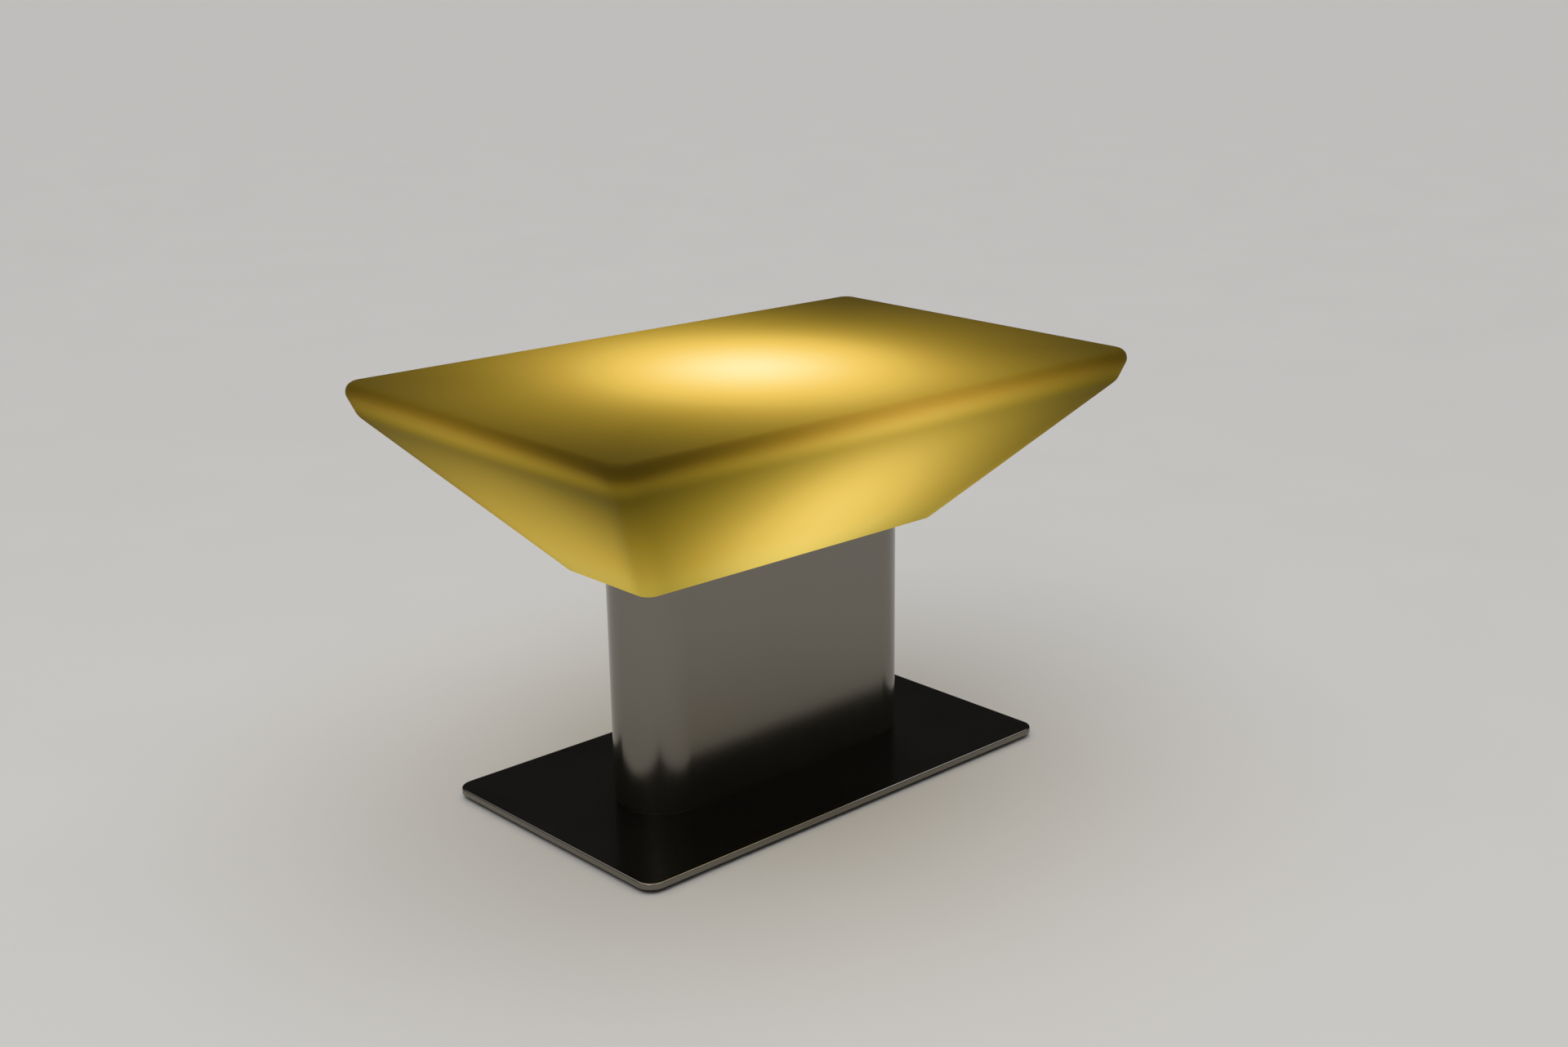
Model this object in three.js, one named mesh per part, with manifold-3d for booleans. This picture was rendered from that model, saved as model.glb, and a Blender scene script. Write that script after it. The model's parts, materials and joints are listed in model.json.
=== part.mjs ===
// A cordless light-up side table, in millimetres, +Z up, with its origin on the floor under its middle.
// A translucent moulded shade is both the table top and the lamp. It stands on a flat steel column with
// round ends, which stands on a rounded steel plate with rubber feet. The long side runs along X, and the
// switch, the button and the charging socket are on the back of the column, towards +Y.
import * as THREE from "three";
import { mergeVertices } from "three/addons/utils/BufferGeometryUtils.js";
import Module from "manifold-3d";

// The whole table.
const tableLength = 840;
const tableWidth = 540;
const tableHeight = 545;

// The moulded shade: a short leaning rim above four sides that taper to the column.
const shadeHeight = 232;
const shadeWall = 5;
const shadeFloor = 6;
const rimDrop = 42;
const rimInset = 12;
const topEdgeRadius = 13;
const topCornerRadius = 24;
const rimCreaseReach = 7;
const shadeLedgeLong = 16;
const shadeLedgeShort = 21;
const shadeFootCorner = 16;
const shadeFootReach = 4;

// The column: a steel tube with flat sides and half-round ends, and flanges inside its head and foot. The
// battery and the junction box stand in the bay between the two flanges in the foot.
const columnLength = 452;
const columnThickness = 120;
const columnWall = 1.5;
const flangeThickness = 6;
const electricsBayLength = 224;

// The base plate and its feet. The plate stands a little nearer the back than the column does.
const plateLength = 678;
const plateWidth = 396;
const plateThickness = 8;
const plateCorner = 22;
const plateEdgeRadius = 2;
const plateUnderBevel = 0.6;
const plateSetBack = 8;
const footHeight = 6;
const footRadius = 20;
const footBevel = 2;
const footInset = 46;
const footSeatDepth = 1.5;

// The battery and the junction box in the foot of the column.
const batteryPlace = -36;
const batteryLength = 120;
const batteryWidth = 52;
const batteryHeight = 44;
const batteryCorner = 7;
const cradleSheet = 2;
const cradleWallHeight = 24;
const cradleLug = 12;
const strapWidth = 18;
const strapSheet = 1.5;
const junctionPlace = 70;
const junctionLength = 44;
const junctionWidth = 40;
const junctionHeight = 24;
const junctionCorner = 3;
const junctionEntrySpacing = 14;
const junctionEntryY = 8;

// The carrier plate inside the shade, which clamps the shade's floor to the column's head.
const carrierInsetLong = 13;
const carrierInsetShort = 8;
const carrierCorner = 14;
const carrierThickness = 6;
const gasketThickness = 1.5;
const openingLandLong = 32;
const openingLandShort = 14;
const openingCorner = 12;
const carrierBoltInset = 20;
const carrierBoltY = 26;
const accessHoleRadius = 11;

// The lamp on the carrier plate.
const heatSinkLength = 130;
const heatSinkWidth = 56;
const heatSinkHeight = 25;
const heatSinkBase = 5;
const finThickness = 2;
const finCount = 8;
const boardLength = 84;
const boardWidth = 42;
const boardCorner = 2;
const boardThickness = 1.6;
const boardSocketLength = 8;
const boardSocketWidth = 10;
const boardSocketHeight = 5;
const emitterRadius = 12;
const emitterHeight = 2.4;
const emitterDome = 0.8;
const lampCoverMargin = 5;
const lampCoverHeight = 24;
const lampCoverWall = 2;
const lampCoverCorner = 8;
const receiverLength = 36;
const receiverWidth = 40;
const receiverHeight = 20;
const receiverCorner = 4;
const receiverGap = 8;
const grommetRadius = 7;
const grommetLip = 2;
const grommetLipHeight = 1.6;
const grommetGap = 15;
const headHoleRadius = 5;

// The service plate on the back of the column. Places along it are from its middle.
const servicePlateLength = 124;
const servicePlateHeight = 40;
const servicePlateThickness = 2;
const servicePlateCorner = 5;
const servicePlateMargin = 25;
const serviceHeight = 66;
const serviceCutMargin = 13;
const serviceCutSill = 5;
const serviceScrewInset = 6;
const bezelThickness = 2;
const bezelBevel = 0.7;
const socketPlace = -32;
const indicatorPlace = -14;
const switchPlace = 6;
const buttonPlace = 33;

// The on-off switch. Depths are from the face of its lip.
const switchBodyHeight = 24;
const switchBodyWidth = 16;
const switchBodyDepth = 20;
const switchBodyCorner = 1;
const switchLip = 2;
const switchLipCorner = 2.5;
const rockerHeight = 19;
const rockerWidth = 12;
const rockerProud = 2;
const rockerDip = 1.4;
const rockerSkirt = 3.2;
const rockerHeel = 3;
const rockerPivotDepth = 3.2;
const rockerTiltDegrees = 9;
const rockerWellDepth = 11;
const trunnionRadius = 1.2;
const trunnionLength = 1;

// The button that changes the colour of the light, and its return spring.
const buttonBezelRadius = 8.5;
const buttonBodyRadius = 6.5;
const buttonBodyDepth = 16;
const buttonRadius = 5;
const buttonProud = 2;
const buttonLength = 6.5;
const buttonBevel = 0.6;
const springHeight = 4;
const springRadius = 3;
const springWireRadius = 0.35;
const springTurns = 3;

// The charging socket, its hinged cover and the charging indicator.
const socketFlange = 20;
const socketFlangeCorner = 3;
const socketBodyRadius = 6.5;
const socketBodyDepth = 15;
const socketBoreRadius = 3.2;
const socketBoreDepth = 11;
const socketPinRadius = 1.05;
const socketPinLength = 9;
const earWidth = 2;
const coverPinRadius = 0.9;
const coverKnuckleRadius = 2;
const coverKnuckleLength = 7.8;
const coverRadius = 6;
const coverThickness = 1.8;
const coverNeckWidth = 7;
const coverTabWidth = 5;
const coverTabReach = 1.5;
const coverTabThickness = 2.6;
const indicatorRadius = 1.8;
const indicatorLip = 0.7;
const indicatorLipHeight = 0.9;
const indicatorDepth = 7;

// Fasteners.
const baseBoltRadius = 4;
const baseBoltHeadRadius = 8;
const baseBoltEdge = 18;
const carrierBoltRadius = 4;
const carrierBoltHeadRadius = 7.2;
const carrierBoltHeadHeight = 5.3;
const smallScrewRadius = 2;
const smallScrewHeadRadius = 3.8;
const smallScrewHeadHeight = 2.2;
const panelScrewRadius = 1.5;
const panelScrewHeadRadius = 3;
const panelScrewHeadHeight = 1.8;
const panelScrewLength = 6;
const screwBite = 5;
const boltRunOut = 3;
const keyShare = 0.5;
const keyDepthShare = 0.55;

// The leads, which are clipped inside the table all the way.
const thickLeadRadius = 2.4;
const thinLeadRadius = 1.5;
const leadRise = 74;
const leadLongBend = 40;
const leadSlack = 20;
const leadTightBend = 12;

// Clearances. Pieces that touch keep seatGap, a shank keeps holeGap in its hole, and a pivot keeps runGap.
const seatGap = 0.3;
const holeGap = 0.3;
const runGap = 0.3;
const cutOverrun = 2;

// How finely round shapes are divided.
const cornerSteps = 6;
const endSteps = 32;
const edgeSteps = 5;
const softSteps = 3;
const boltSides = 14;
const roundSides = 28;
const springStepsPerTurn = 12;
const springWireSides = 6;
const leadSides = 8;
const leadSteps = 20;
const longLeadSteps = 60;
const mergeDistance = 1e-4;

// Heights, from the floor up.
const plateBottom = footHeight;
const plateTop = plateBottom + plateThickness;
const innerFloor = plateTop + seatGap;
const columnBottom = plateTop + seatGap;
const shadeBottom = tableHeight - shadeHeight;
const columnTop = shadeBottom - seatGap;
const shadeFloorTop = shadeBottom + shadeFloor;
const gasketBottom = shadeFloorTop + seatGap;
const carrierBottom = gasketBottom + gasketThickness + seatGap;
const carrierTop = carrierBottom + carrierThickness;
const heatSinkBottom = carrierTop + seatGap;
const heatSinkTop = heatSinkBottom + heatSinkHeight;
const boardBottom = heatSinkTop + seatGap;
const boardTop = boardBottom + boardThickness;

// Sizes that follow from a neighbour's.
const columnStraight = columnLength - columnThickness;
const flangeLength = columnLength - 2 * (columnWall + seatGap);
const flangeWidth = columnThickness - 2 * (columnWall + seatGap);
const shadeFootLength = columnLength + 2 * shadeLedgeLong;
const shadeFootWidth = columnThickness + 2 * shadeLedgeShort;
const carrierLength = columnLength - 2 * carrierInsetLong;
const carrierWidth = columnThickness - 2 * carrierInsetShort;
const openingLength = carrierLength - 2 * openingLandLong;
const openingWidth = carrierWidth - 2 * openingLandShort;
const carrierBoltX = carrierLength / 2 - carrierBoltInset;
const baseBoltX = electricsBayLength / 2 + baseBoltEdge;
const baseBoltY = flangeWidth / 2 - baseBoltEdge;
const footX = plateLength / 2 - footInset;
const footY = plateWidth / 2 - footInset;
const serviceX = columnStraight / 2 - servicePlateLength / 2 - servicePlateMargin;
const serviceZ = serviceHeight;
const columnBack = columnThickness / 2;
const servicePlateBack = columnBack + seatGap;
const serviceFace = servicePlateBack + servicePlateThickness;
const bezelBack = serviceFace + seatGap;
const bezelFront = bezelBack + bezelThickness;
const socketX = serviceX + socketPlace;
const indicatorX = serviceX + indicatorPlace;
const switchX = serviceX + switchPlace;
const buttonX = serviceX + buttonPlace;
const receiverX = heatSinkLength / 2 + receiverGap + receiverLength / 2;
const grommetX = receiverX + receiverLength / 2 + grommetGap + grommetRadius;

const wasm = await Module();
wasm.setup();

// Helpers for shapes

function solidOf(geometry) {
  const bare = geometry.index ? geometry.toNonIndexed() : geometry.clone();
  bare.deleteAttribute("normal");
  bare.deleteAttribute("uv");
  const merged = mergeVertices(bare, mergeDistance);
  const vertProperties = merged.attributes.position.array;
  const triVerts = new Uint32Array(merged.index.array);
  return new wasm.Manifold(new wasm.Mesh({ numProp: 3, vertProperties, triVerts }));
}

function geometryOf(solid) {
  const mesh = solid.getMesh();
  const geometry = new THREE.BufferGeometry();
  geometry.setAttribute("position", new THREE.BufferAttribute(mesh.vertProperties, mesh.numProp));
  geometry.setIndex(new THREE.BufferAttribute(mesh.triVerts, 1));
  const flat = geometry.toNonIndexed();
  flat.computeVertexNormals();
  return flat;
}

function cut(geometry, tools) {
  let solid = solidOf(geometry);
  for (const tool of tools) solid = solid.subtract(solidOf(tool));
  return geometryOf(solid);
}

function join(pieces) {
  let solid = solidOf(pieces[0]);
  for (const piece of pieces.slice(1)) solid = solid.add(solidOf(piece));
  return geometryOf(solid);
}

function obround(length, width) {
  const radius = width / 2;
  const reach = length / 2 - radius;
  const shape = new THREE.Shape();
  shape.absarc(reach, 0, radius, -Math.PI / 2, Math.PI / 2);
  shape.absarc(-reach, 0, radius, Math.PI / 2, 1.5 * Math.PI);
  shape.closePath();
  return shape;
}

function roundedRectangle(length, width, radius) {
  const x = length / 2 - radius;
  const y = width / 2 - radius;
  const shape = new THREE.Shape();
  shape.absarc(x, -y, radius, -Math.PI / 2, 0);
  shape.absarc(x, y, radius, 0, Math.PI / 2);
  shape.absarc(-x, y, radius, Math.PI / 2, Math.PI);
  shape.absarc(-x, -y, radius, Math.PI, 1.5 * Math.PI);
  shape.closePath();
  return shape;
}

function outline(points) {
  return new THREE.Shape(points.map(([x, y]) => new THREE.Vector2(x, y)));
}

// A flat outline made solid from z up to z + height. Each arc of the outline gets "steps" sides.
function standing(shape, z, height, steps = cornerSteps) {
  const settings = { depth: height, bevelEnabled: false, curveSegments: steps / 2 };
  return new THREE.ExtrudeGeometry(shape, settings).translate(0, 0, z);
}

// The same on the back of the column: the outline's Y points up, and the solid reaches in from front.
function facingBack(shape, x, front, z, depth) {
  return standing(shape, 0, depth).rotateX(Math.PI / 2).translate(x, front, z);
}

function box(x0, x1, y0, y1, z0, z1) {
  const geometry = new THREE.BoxGeometry(x1 - x0, y1 - y0, z1 - z0);
  return geometry.translate((x0 + x1) / 2, (y0 + y1) / 2, (z0 + z1) / 2);
}

// A turned piece about +Z, through [radius, z] points from its foot to its top.
function turned(points, sides = boltSides) {
  const profile = points.map(([radius, z]) => new THREE.Vector2(radius, z));
  return new THREE.LatheGeometry(profile, sides).rotateX(Math.PI / 2);
}

function rod(x, y, z0, z1, radius, sides = boltSides) {
  return turned([[0, z0], [radius, z0], [radius, z1], [0, z1]], sides).translate(x, y, 0);
}

// Turns a piece that was drawn about +Z so that it points out of the column's back, along +Y.
function pointingBack(geometry, x, z) {
  return geometry.rotateX(-Math.PI / 2).translate(x, 0, z);
}

function rodBack(x, z, y0, y1, radius, sides = boltSides) {
  return pointingBack(rod(0, 0, y0, y1, radius, sides), x, z);
}

// A rod along X, centred on x.
function rodAcross(x, y, z, length, radius, sides = boltSides) {
  return rod(0, 0, -length / 2, length / 2, radius, sides).rotateY(Math.PI / 2).translate(x, y, z);
}

// A side view in [y, z] made solid along X, centred on x = 0.
function profileAcross(points, length) {
  const turn = new THREE.Matrix4().makeBasis(
    new THREE.Vector3(0, 1, 0),
    new THREE.Vector3(0, 0, 1),
    new THREE.Vector3(1, 0, 0),
  );
  return standing(outline(points), -length / 2, length).applyMatrix4(turn);
}

// One level of a lofted body: a rounded rectangle, by its half sizes, corner radius and height.
function level(halfLength, halfWidth, corner, z) {
  return { halfLength, halfWidth, corner, z };
}

function levelBetween(a, b, share) {
  const mix = (from, to) => from + (to - from) * share;
  return level(
    mix(a.halfLength, b.halfLength),
    mix(a.halfWidth, b.halfWidth),
    mix(a.corner, b.corner),
    mix(a.z, b.z),
  );
}

// A curve of levels from start to end that bends towards the level between them.
function bentLevels(start, bend, end) {
  const levels = [];
  for (let step = 0; step <= softSteps; step++) {
    const share = step / softSteps;
    levels.push(levelBetween(levelBetween(start, bend, share), levelBetween(bend, end, share), share));
  }
  return levels;
}

function levelPoints({ halfLength, halfWidth, corner, z }) {
  const points = [];
  const signs = [[1, 1], [-1, 1], [-1, -1], [1, -1]];
  signs.forEach(([sx, sy], quarter) => {
    for (let step = 0; step <= cornerSteps; step++) {
      const angle = (quarter + step / cornerSteps) * (Math.PI / 2);
      const x = sx * (halfLength - corner) + corner * Math.cos(angle);
      const y = sy * (halfWidth - corner) + corner * Math.sin(angle);
      points.push(new THREE.Vector3(x, y, z));
    }
  });
  return points;
}

// A closed body through levels that are given from the lowest to the highest.
function lofted(levels) {
  const rings = levels.map(levelPoints);
  const last = rings.length - 1;
  const lowMiddle = new THREE.Vector3(0, 0, levels[0].z);
  const highMiddle = new THREE.Vector3(0, 0, levels[last].z);
  const triangles = [];
  rings[0].forEach((_, i) => {
    const next = (i + 1) % rings[0].length;
    triangles.push(lowMiddle, rings[0][next], rings[0][i]);
    triangles.push(highMiddle, rings[last][i], rings[last][next]);
    for (let row = 0; row < last; row++) {
      const [low, lowNext] = [rings[row][i], rings[row][next]];
      const [high, highNext] = [rings[row + 1][i], rings[row + 1][next]];
      triangles.push(low, lowNext, highNext, low, highNext, high);
    }
  });
  return new THREE.BufferGeometry().setFromPoints(triangles);
}

function tubeAlong(path, radius, sides, steps) {
  const section = new THREE.Shape();
  section.absarc(0, 0, radius, 0, 2 * Math.PI);
  const settings = { extrudePath: path, steps, curveSegments: sides / 2, bevelEnabled: false };
  return new THREE.ExtrudeGeometry(section, settings);
}

// A bend from one end of a lead to the other. It leaves each end along that end's own way.
function bendBetween(start, startWay, startReach, end, endWay, endReach) {
  const from = new THREE.Vector3(...start);
  const to = new THREE.Vector3(...end);
  const leaving = new THREE.Vector3(...startWay).multiplyScalar(startReach).add(from);
  const arriving = new THREE.Vector3(...endWay).multiplyScalar(endReach).add(to);
  return new THREE.CubicBezierCurve3(from, leaving, arriving, to);
}

// A screw along +Z with its head below z and a round key socket in the head.
function screwUp(x, y, z, length, radius, headRadius, headHeight) {
  const key = headRadius * keyShare;
  const keyTop = z - headHeight * (1 - keyDepthShare);
  const points = [
    [0, keyTop],
    [key, keyTop],
    [key, z - headHeight],
    [headRadius, z - headHeight],
    [headRadius, z],
    [radius, z],
    [radius, z + length],
    [0, z + length],
  ];
  return turned(points).translate(x, y, 0);
}

function screwDown(x, y, z, length, radius, headRadius, headHeight) {
  return screwUp(0, 0, 0, length, radius, headRadius, headHeight).rotateX(Math.PI).translate(x, y, z);
}

// Cutting tools for holes through what lies between z0 and z1.
function holesAt(places, radius, z0, z1) {
  return places.map(([, x, y]) => rod(x, y, z0 - cutOverrun, z1 + cutOverrun, radius));
}

// Materials

function finish(color, roughness, metalness, extra = {}) {
  return new THREE.MeshStandardMaterial({ color, roughness, metalness, ...extra });
}

const glowingPlastic = finish(0xe3bb55, 0.5, 0, { emissive: 0xb98f2a });
const brushedSteel = finish(0xb4b2ac, 0.32, 1);
const plainSteel = finish(0x8b8b88, 0.45, 1);
const zincSteel = finish(0xc3c4c0, 0.35, 1);
const blackRubber = finish(0x17171a, 0.85, 0);
const blackPlastic = finish(0x1b1b1d, 0.4, 0);
const greyPlastic = finish(0x77787a, 0.5, 0);
const greyPaint = finish(0xa9aaa6, 0.5, 0);
const aluminium = finish(0xc8cacb, 0.4, 1);
const whiteBoard = finish(0xe9e9e4, 0.5, 0);
const yellowLens = finish(0xffd24a, 0.3, 0, { emissive: 0xffd24a });
const opalPlastic = finish(0xf2eee2, 0.45, 0);
const batteryWrap = finish(0x24486e, 0.35, 0);
const greenLens = finish(0x5fbf6a, 0.2, 0);

const table = new THREE.Group();

function place(name, geometry, material) {
  const mesh = new THREE.Mesh(geometry, material);
  mesh.name = name;
  table.add(mesh);
  return mesh;
}

const corners = [
  ["front_left", -1, -1],
  ["front_right", 1, -1],
  ["back_right", 1, 1],
  ["back_left", -1, 1],
];
const ends = [
  ["left", -1],
  ["right", 1],
];
const cornerPlaces = (x, y, setBack = 0) => corners.map(([name, sx, sy]) => [name, sx * x, sy * y + setBack]);

const carrierBolts = cornerPlaces(carrierBoltX, carrierBoltY);
const baseBolts = cornerPlaces(baseBoltX, baseBoltY);
const footPlaces = cornerPlaces(footX, footY, plateSetBack);

// The shade

const shadeFoot = level(shadeFootLength / 2, shadeFootWidth / 2, shadeFootCorner, shadeBottom);
const shadeCrease = level(
  tableLength / 2 - rimInset,
  tableWidth / 2 - rimInset,
  topCornerRadius - rimInset / 2,
  tableHeight - rimDrop,
);

// The quarter round of a top edge, seen as levels. It starts where the rim's lean is tangent to it.
function edgeLevels(inset, radius, startAngle, steps) {
  const levels = [];
  for (let step = 0; step <= steps; step++) {
    const angle = startAngle + (step / steps) * (Math.PI / 2 - startAngle);
    const pull = inset + radius * (1 - Math.cos(angle));
    const z = tableHeight - inset - radius * (1 - Math.sin(angle));
    levels.push(level(tableLength / 2 - pull, tableWidth / 2 - pull, topCornerRadius - pull, z));
  }
  return levels;
}

function shadeOutside() {
  const lean = Math.atan2(rimInset, rimDrop - topEdgeRadius);
  const edge = edgeLevels(0, topEdgeRadius, -lean, edgeSteps);
  const rise = shadeCrease.z - shadeFoot.z;
  const lip = level(
    shadeFoot.halfLength - shadeFootReach,
    shadeFoot.halfWidth - shadeFootReach,
    shadeFoot.corner - shadeFootReach,
    shadeFoot.z,
  );
  const aboveFoot = levelBetween(shadeFoot, shadeCrease, shadeFootReach / rise);
  const belowCrease = levelBetween(shadeCrease, shadeFoot, rimCreaseReach / rise);
  const aboveCrease = levelBetween(shadeCrease, edge[0], rimCreaseReach / (edge[0].z - shadeCrease.z));
  return [
    ...bentLevels(lip, shadeFoot, aboveFoot),
    ...bentLevels(belowCrease, shadeCrease, aboveCrease),
    ...edge,
  ];
}

// The inner face lies one wall inside the outer one. On a leaning side that is further, measured level.
function shadeInside() {
  const rise = shadeCrease.z - shadeFoot.z;
  const slopeLong = (shadeCrease.halfLength - shadeFoot.halfLength) / rise;
  const slopeShort = (shadeCrease.halfWidth - shadeFoot.halfWidth) / rise;
  const acrossLong = shadeWall * Math.hypot(1, slopeLong);
  const acrossShort = shadeWall * Math.hypot(1, slopeShort);
  const floor = level(
    shadeFoot.halfLength + slopeLong * shadeFloor - acrossLong,
    shadeFoot.halfWidth + slopeShort * shadeFloor - acrossShort,
    shadeFootCorner - shadeWall,
    shadeFloorTop,
  );
  const crease = level(
    shadeCrease.halfLength - (acrossLong + shadeWall) / 2,
    shadeCrease.halfWidth - (acrossShort + shadeWall) / 2,
    shadeCrease.corner - shadeWall,
    shadeCrease.z,
  );
  return [floor, crease, ...edgeLevels(shadeWall, topEdgeRadius - shadeWall, 0, softSteps)];
}

function shadeBody() {
  const opening = roundedRectangle(openingLength, openingWidth, openingCorner);
  return cut(lofted(shadeOutside()), [
    lofted(shadeInside()),
    standing(opening, shadeBottom - cutOverrun, shadeFloor + 2 * cutOverrun),
    ...holesAt(carrierBolts, carrierBoltRadius + holeGap, shadeBottom, shadeFloorTop),
  ]);
}

place("shade_body", shadeBody(), glowingPlastic);

// The carrier plate, its gasket and its bolts, which clamp the shade's floor to the column's head

const heatSinkScrewX = heatSinkLength / 4 + boardLength / 4 + lampCoverMargin / 2;
const heatSinkScrews = ends.map(([name, side]) => [name, side * heatSinkScrewX, 0]);

function carrierGasket() {
  const shape = roundedRectangle(carrierLength, carrierWidth, carrierCorner);
  shape.holes.push(roundedRectangle(openingLength, openingWidth, openingCorner));
  const holes = holesAt(carrierBolts, carrierBoltRadius + holeGap, gasketBottom, carrierBottom);
  return cut(standing(shape, gasketBottom, gasketThickness), holes);
}

function carrierPlate() {
  const shape = roundedRectangle(carrierLength, carrierWidth, carrierCorner);
  return cut(standing(shape, carrierBottom, carrierThickness), [
    ...holesAt(carrierBolts, carrierBoltRadius + holeGap, carrierBottom, carrierTop),
    ...holesAt(heatSinkScrews, smallScrewRadius + holeGap, carrierBottom, carrierTop),
    ...holesAt([["", grommetX, 0]], grommetRadius, carrierBottom, carrierTop),
  ]);
}

place("carrier_gasket", carrierGasket(), blackRubber);
place("carrier_plate", carrierPlate(), zincSteel);

const headFlangeBottom = columnTop - flangeThickness;
const carrierBoltSeat = headFlangeBottom - seatGap;
for (const [name, x, y] of carrierBolts) {
  const length = carrierTop + boltRunOut - carrierBoltSeat;
  const bolt = screwUp(
    x, y, carrierBoltSeat, length, carrierBoltRadius, carrierBoltHeadRadius, carrierBoltHeadHeight,
  );
  place(`carrier_bolt_${name}`, bolt, zincSteel);
}

// The lamp: a finned heat sink, a board with one light source, and an opal cover

function heatSink() {
  const pitch = (heatSinkWidth - finThickness) / (finCount - 1);
  const half = heatSinkWidth / 2;
  const finTop = heatSinkTop - heatSinkBase;
  const points = [[half, heatSinkTop], [-half, heatSinkTop]];
  for (let fin = 0; fin < finCount; fin++) {
    const left = fin * pitch - half;
    const right = left + finThickness;
    if (fin > 0) points.push([left, finTop]);
    points.push([left, heatSinkBottom], [right, heatSinkBottom]);
    if (fin < finCount - 1) points.push([right, finTop]);
  }
  const holes = holesAt(heatSinkScrews, smallScrewRadius + holeGap, finTop, heatSinkTop);
  return cut(profileAcross(points, heatSinkLength), holes);
}

place("heat_sink", heatSink(), aluminium);

for (const [name, x, y] of heatSinkScrews) {
  const seat = heatSinkTop + seatGap;
  const length = seat - carrierBottom;
  const screw = screwDown(
    x, y, seat, length, smallScrewRadius, smallScrewHeadRadius, smallScrewHeadHeight,
  );
  place(`heat_sink_screw_${name}`, screw, zincSteel);
}

const boardSocketY = boardWidth / 4;
const lampLeadZ = boardTop + boardSocketHeight / 2;

function lampBoard() {
  const shape = roundedRectangle(boardLength, boardWidth, boardCorner);
  const socket = box(
    boardLength / 2 - boardSocketLength, boardLength / 2,
    boardSocketY - boardSocketWidth / 2, boardSocketY + boardSocketWidth / 2,
    boardTop - boardThickness / 2, boardTop + boardSocketHeight,
  );
  return join([standing(shape, boardBottom, boardThickness), socket]);
}

function lightSource() {
  const low = boardTop + seatGap;
  const crown = low + emitterHeight;
  return turned([
    [0, low],
    [emitterRadius, low],
    [emitterRadius, crown - emitterDome],
    [emitterRadius - emitterDome, crown],
    [0, crown],
  ], roundSides);
}

// A tray turned upside down over the board, with a notch for the lamp's lead.
function lampCover() {
  const bottom = heatSinkTop + seatGap;
  const top = bottom + lampCoverHeight;
  const halfLength = boardLength / 2 + lampCoverMargin;
  const tray = (inset, z0, z1) => {
    const corner = lampCoverCorner - inset;
    const soft = corner / 2;
    const x = halfLength - inset;
    const y = boardWidth / 2 + lampCoverMargin - inset;
    return lofted([
      level(x, y, corner, z0),
      level(x, y, corner, z1 - soft),
      level(x - soft, y - soft, corner - soft, z1),
    ]);
  };
  const notch = thinLeadRadius + runGap;
  return cut(tray(0, bottom, top), [
    tray(lampCoverWall, bottom - cutOverrun, top - lampCoverWall),
    box(
      halfLength - lampCoverWall - cutOverrun, halfLength + cutOverrun,
      boardSocketY - notch, boardSocketY + notch,
      bottom - cutOverrun, lampLeadZ + notch,
    ),
  ]);
}

const receiverBottom = carrierTop + seatGap;
const receiverTop = receiverBottom + receiverHeight;

// A rounded block that stands on "bottom", centred on x.
function blockAt(x, length, width, corner, bottom, height) {
  return standing(roundedRectangle(length, width, corner), bottom, height).translate(x, 0, 0);
}

const grommetTop = carrierTop + seatGap + grommetLipHeight;

// A rubber grommet that lines the carrier plate's hole for the supply lead.
function leadGrommet() {
  const bore = thickLeadRadius + runGap;
  const neck = grommetRadius - seatGap;
  const lip = neck + grommetLip;
  const low = carrierBottom - seatGap;
  const high = carrierTop + seatGap;
  const points = [
    [bore, low - grommetLipHeight],
    [lip, low - grommetLipHeight],
    [lip, low],
    [neck, low],
    [neck, high],
    [lip, high],
    [lip, grommetTop],
    [bore, grommetTop],
    [bore, low - grommetLipHeight],
  ];
  return turned(points).translate(grommetX, 0, 0);
}

place("lamp_board", lampBoard(), whiteBoard);
place("light_source", lightSource(), yellowLens);
place("lamp_cover", lampCover(), opalPlastic);
const receiver = blockAt(
  receiverX, receiverLength, receiverWidth, receiverCorner, receiverBottom, receiverHeight,
);
place("remote_receiver", receiver, greyPlastic);
place("lead_grommet", leadGrommet(), blackRubber);

// The column: the shell, a flange in its head and one in each end of its foot

const serviceScrews = ends.map(([name, side]) => (
  [name, serviceX + side * (servicePlateLength / 2 - serviceScrewInset)]
));

function columnShell() {
  const tube = obround(columnLength, columnThickness);
  tube.holes.push(obround(columnLength - 2 * columnWall, columnThickness - 2 * columnWall));
  const window = roundedRectangle(
    servicePlateLength - 2 * serviceCutMargin, servicePlateHeight - 2 * serviceCutSill, servicePlateCorner,
  );
  const outside = columnBack + cutOverrun;
  const inside = columnBack - columnWall - cutOverrun;
  return cut(standing(tube, columnBottom, columnTop - columnBottom, endSteps), [
    facingBack(window, serviceX, outside, serviceZ, outside - inside),
    ...serviceScrews.map(([, x]) => rodBack(x, serviceZ, inside, outside, panelScrewRadius + holeGap)),
  ]);
}

function headFlange() {
  const shape = obround(flangeLength, flangeWidth);
  return cut(standing(shape, headFlangeBottom, flangeThickness, endSteps), [
    ...holesAt(carrierBolts, carrierBoltRadius + holeGap, headFlangeBottom, columnTop),
    ...holesAt([["", grommetX, 0]], headHoleRadius, headFlangeBottom, columnTop),
  ]);
}

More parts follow.
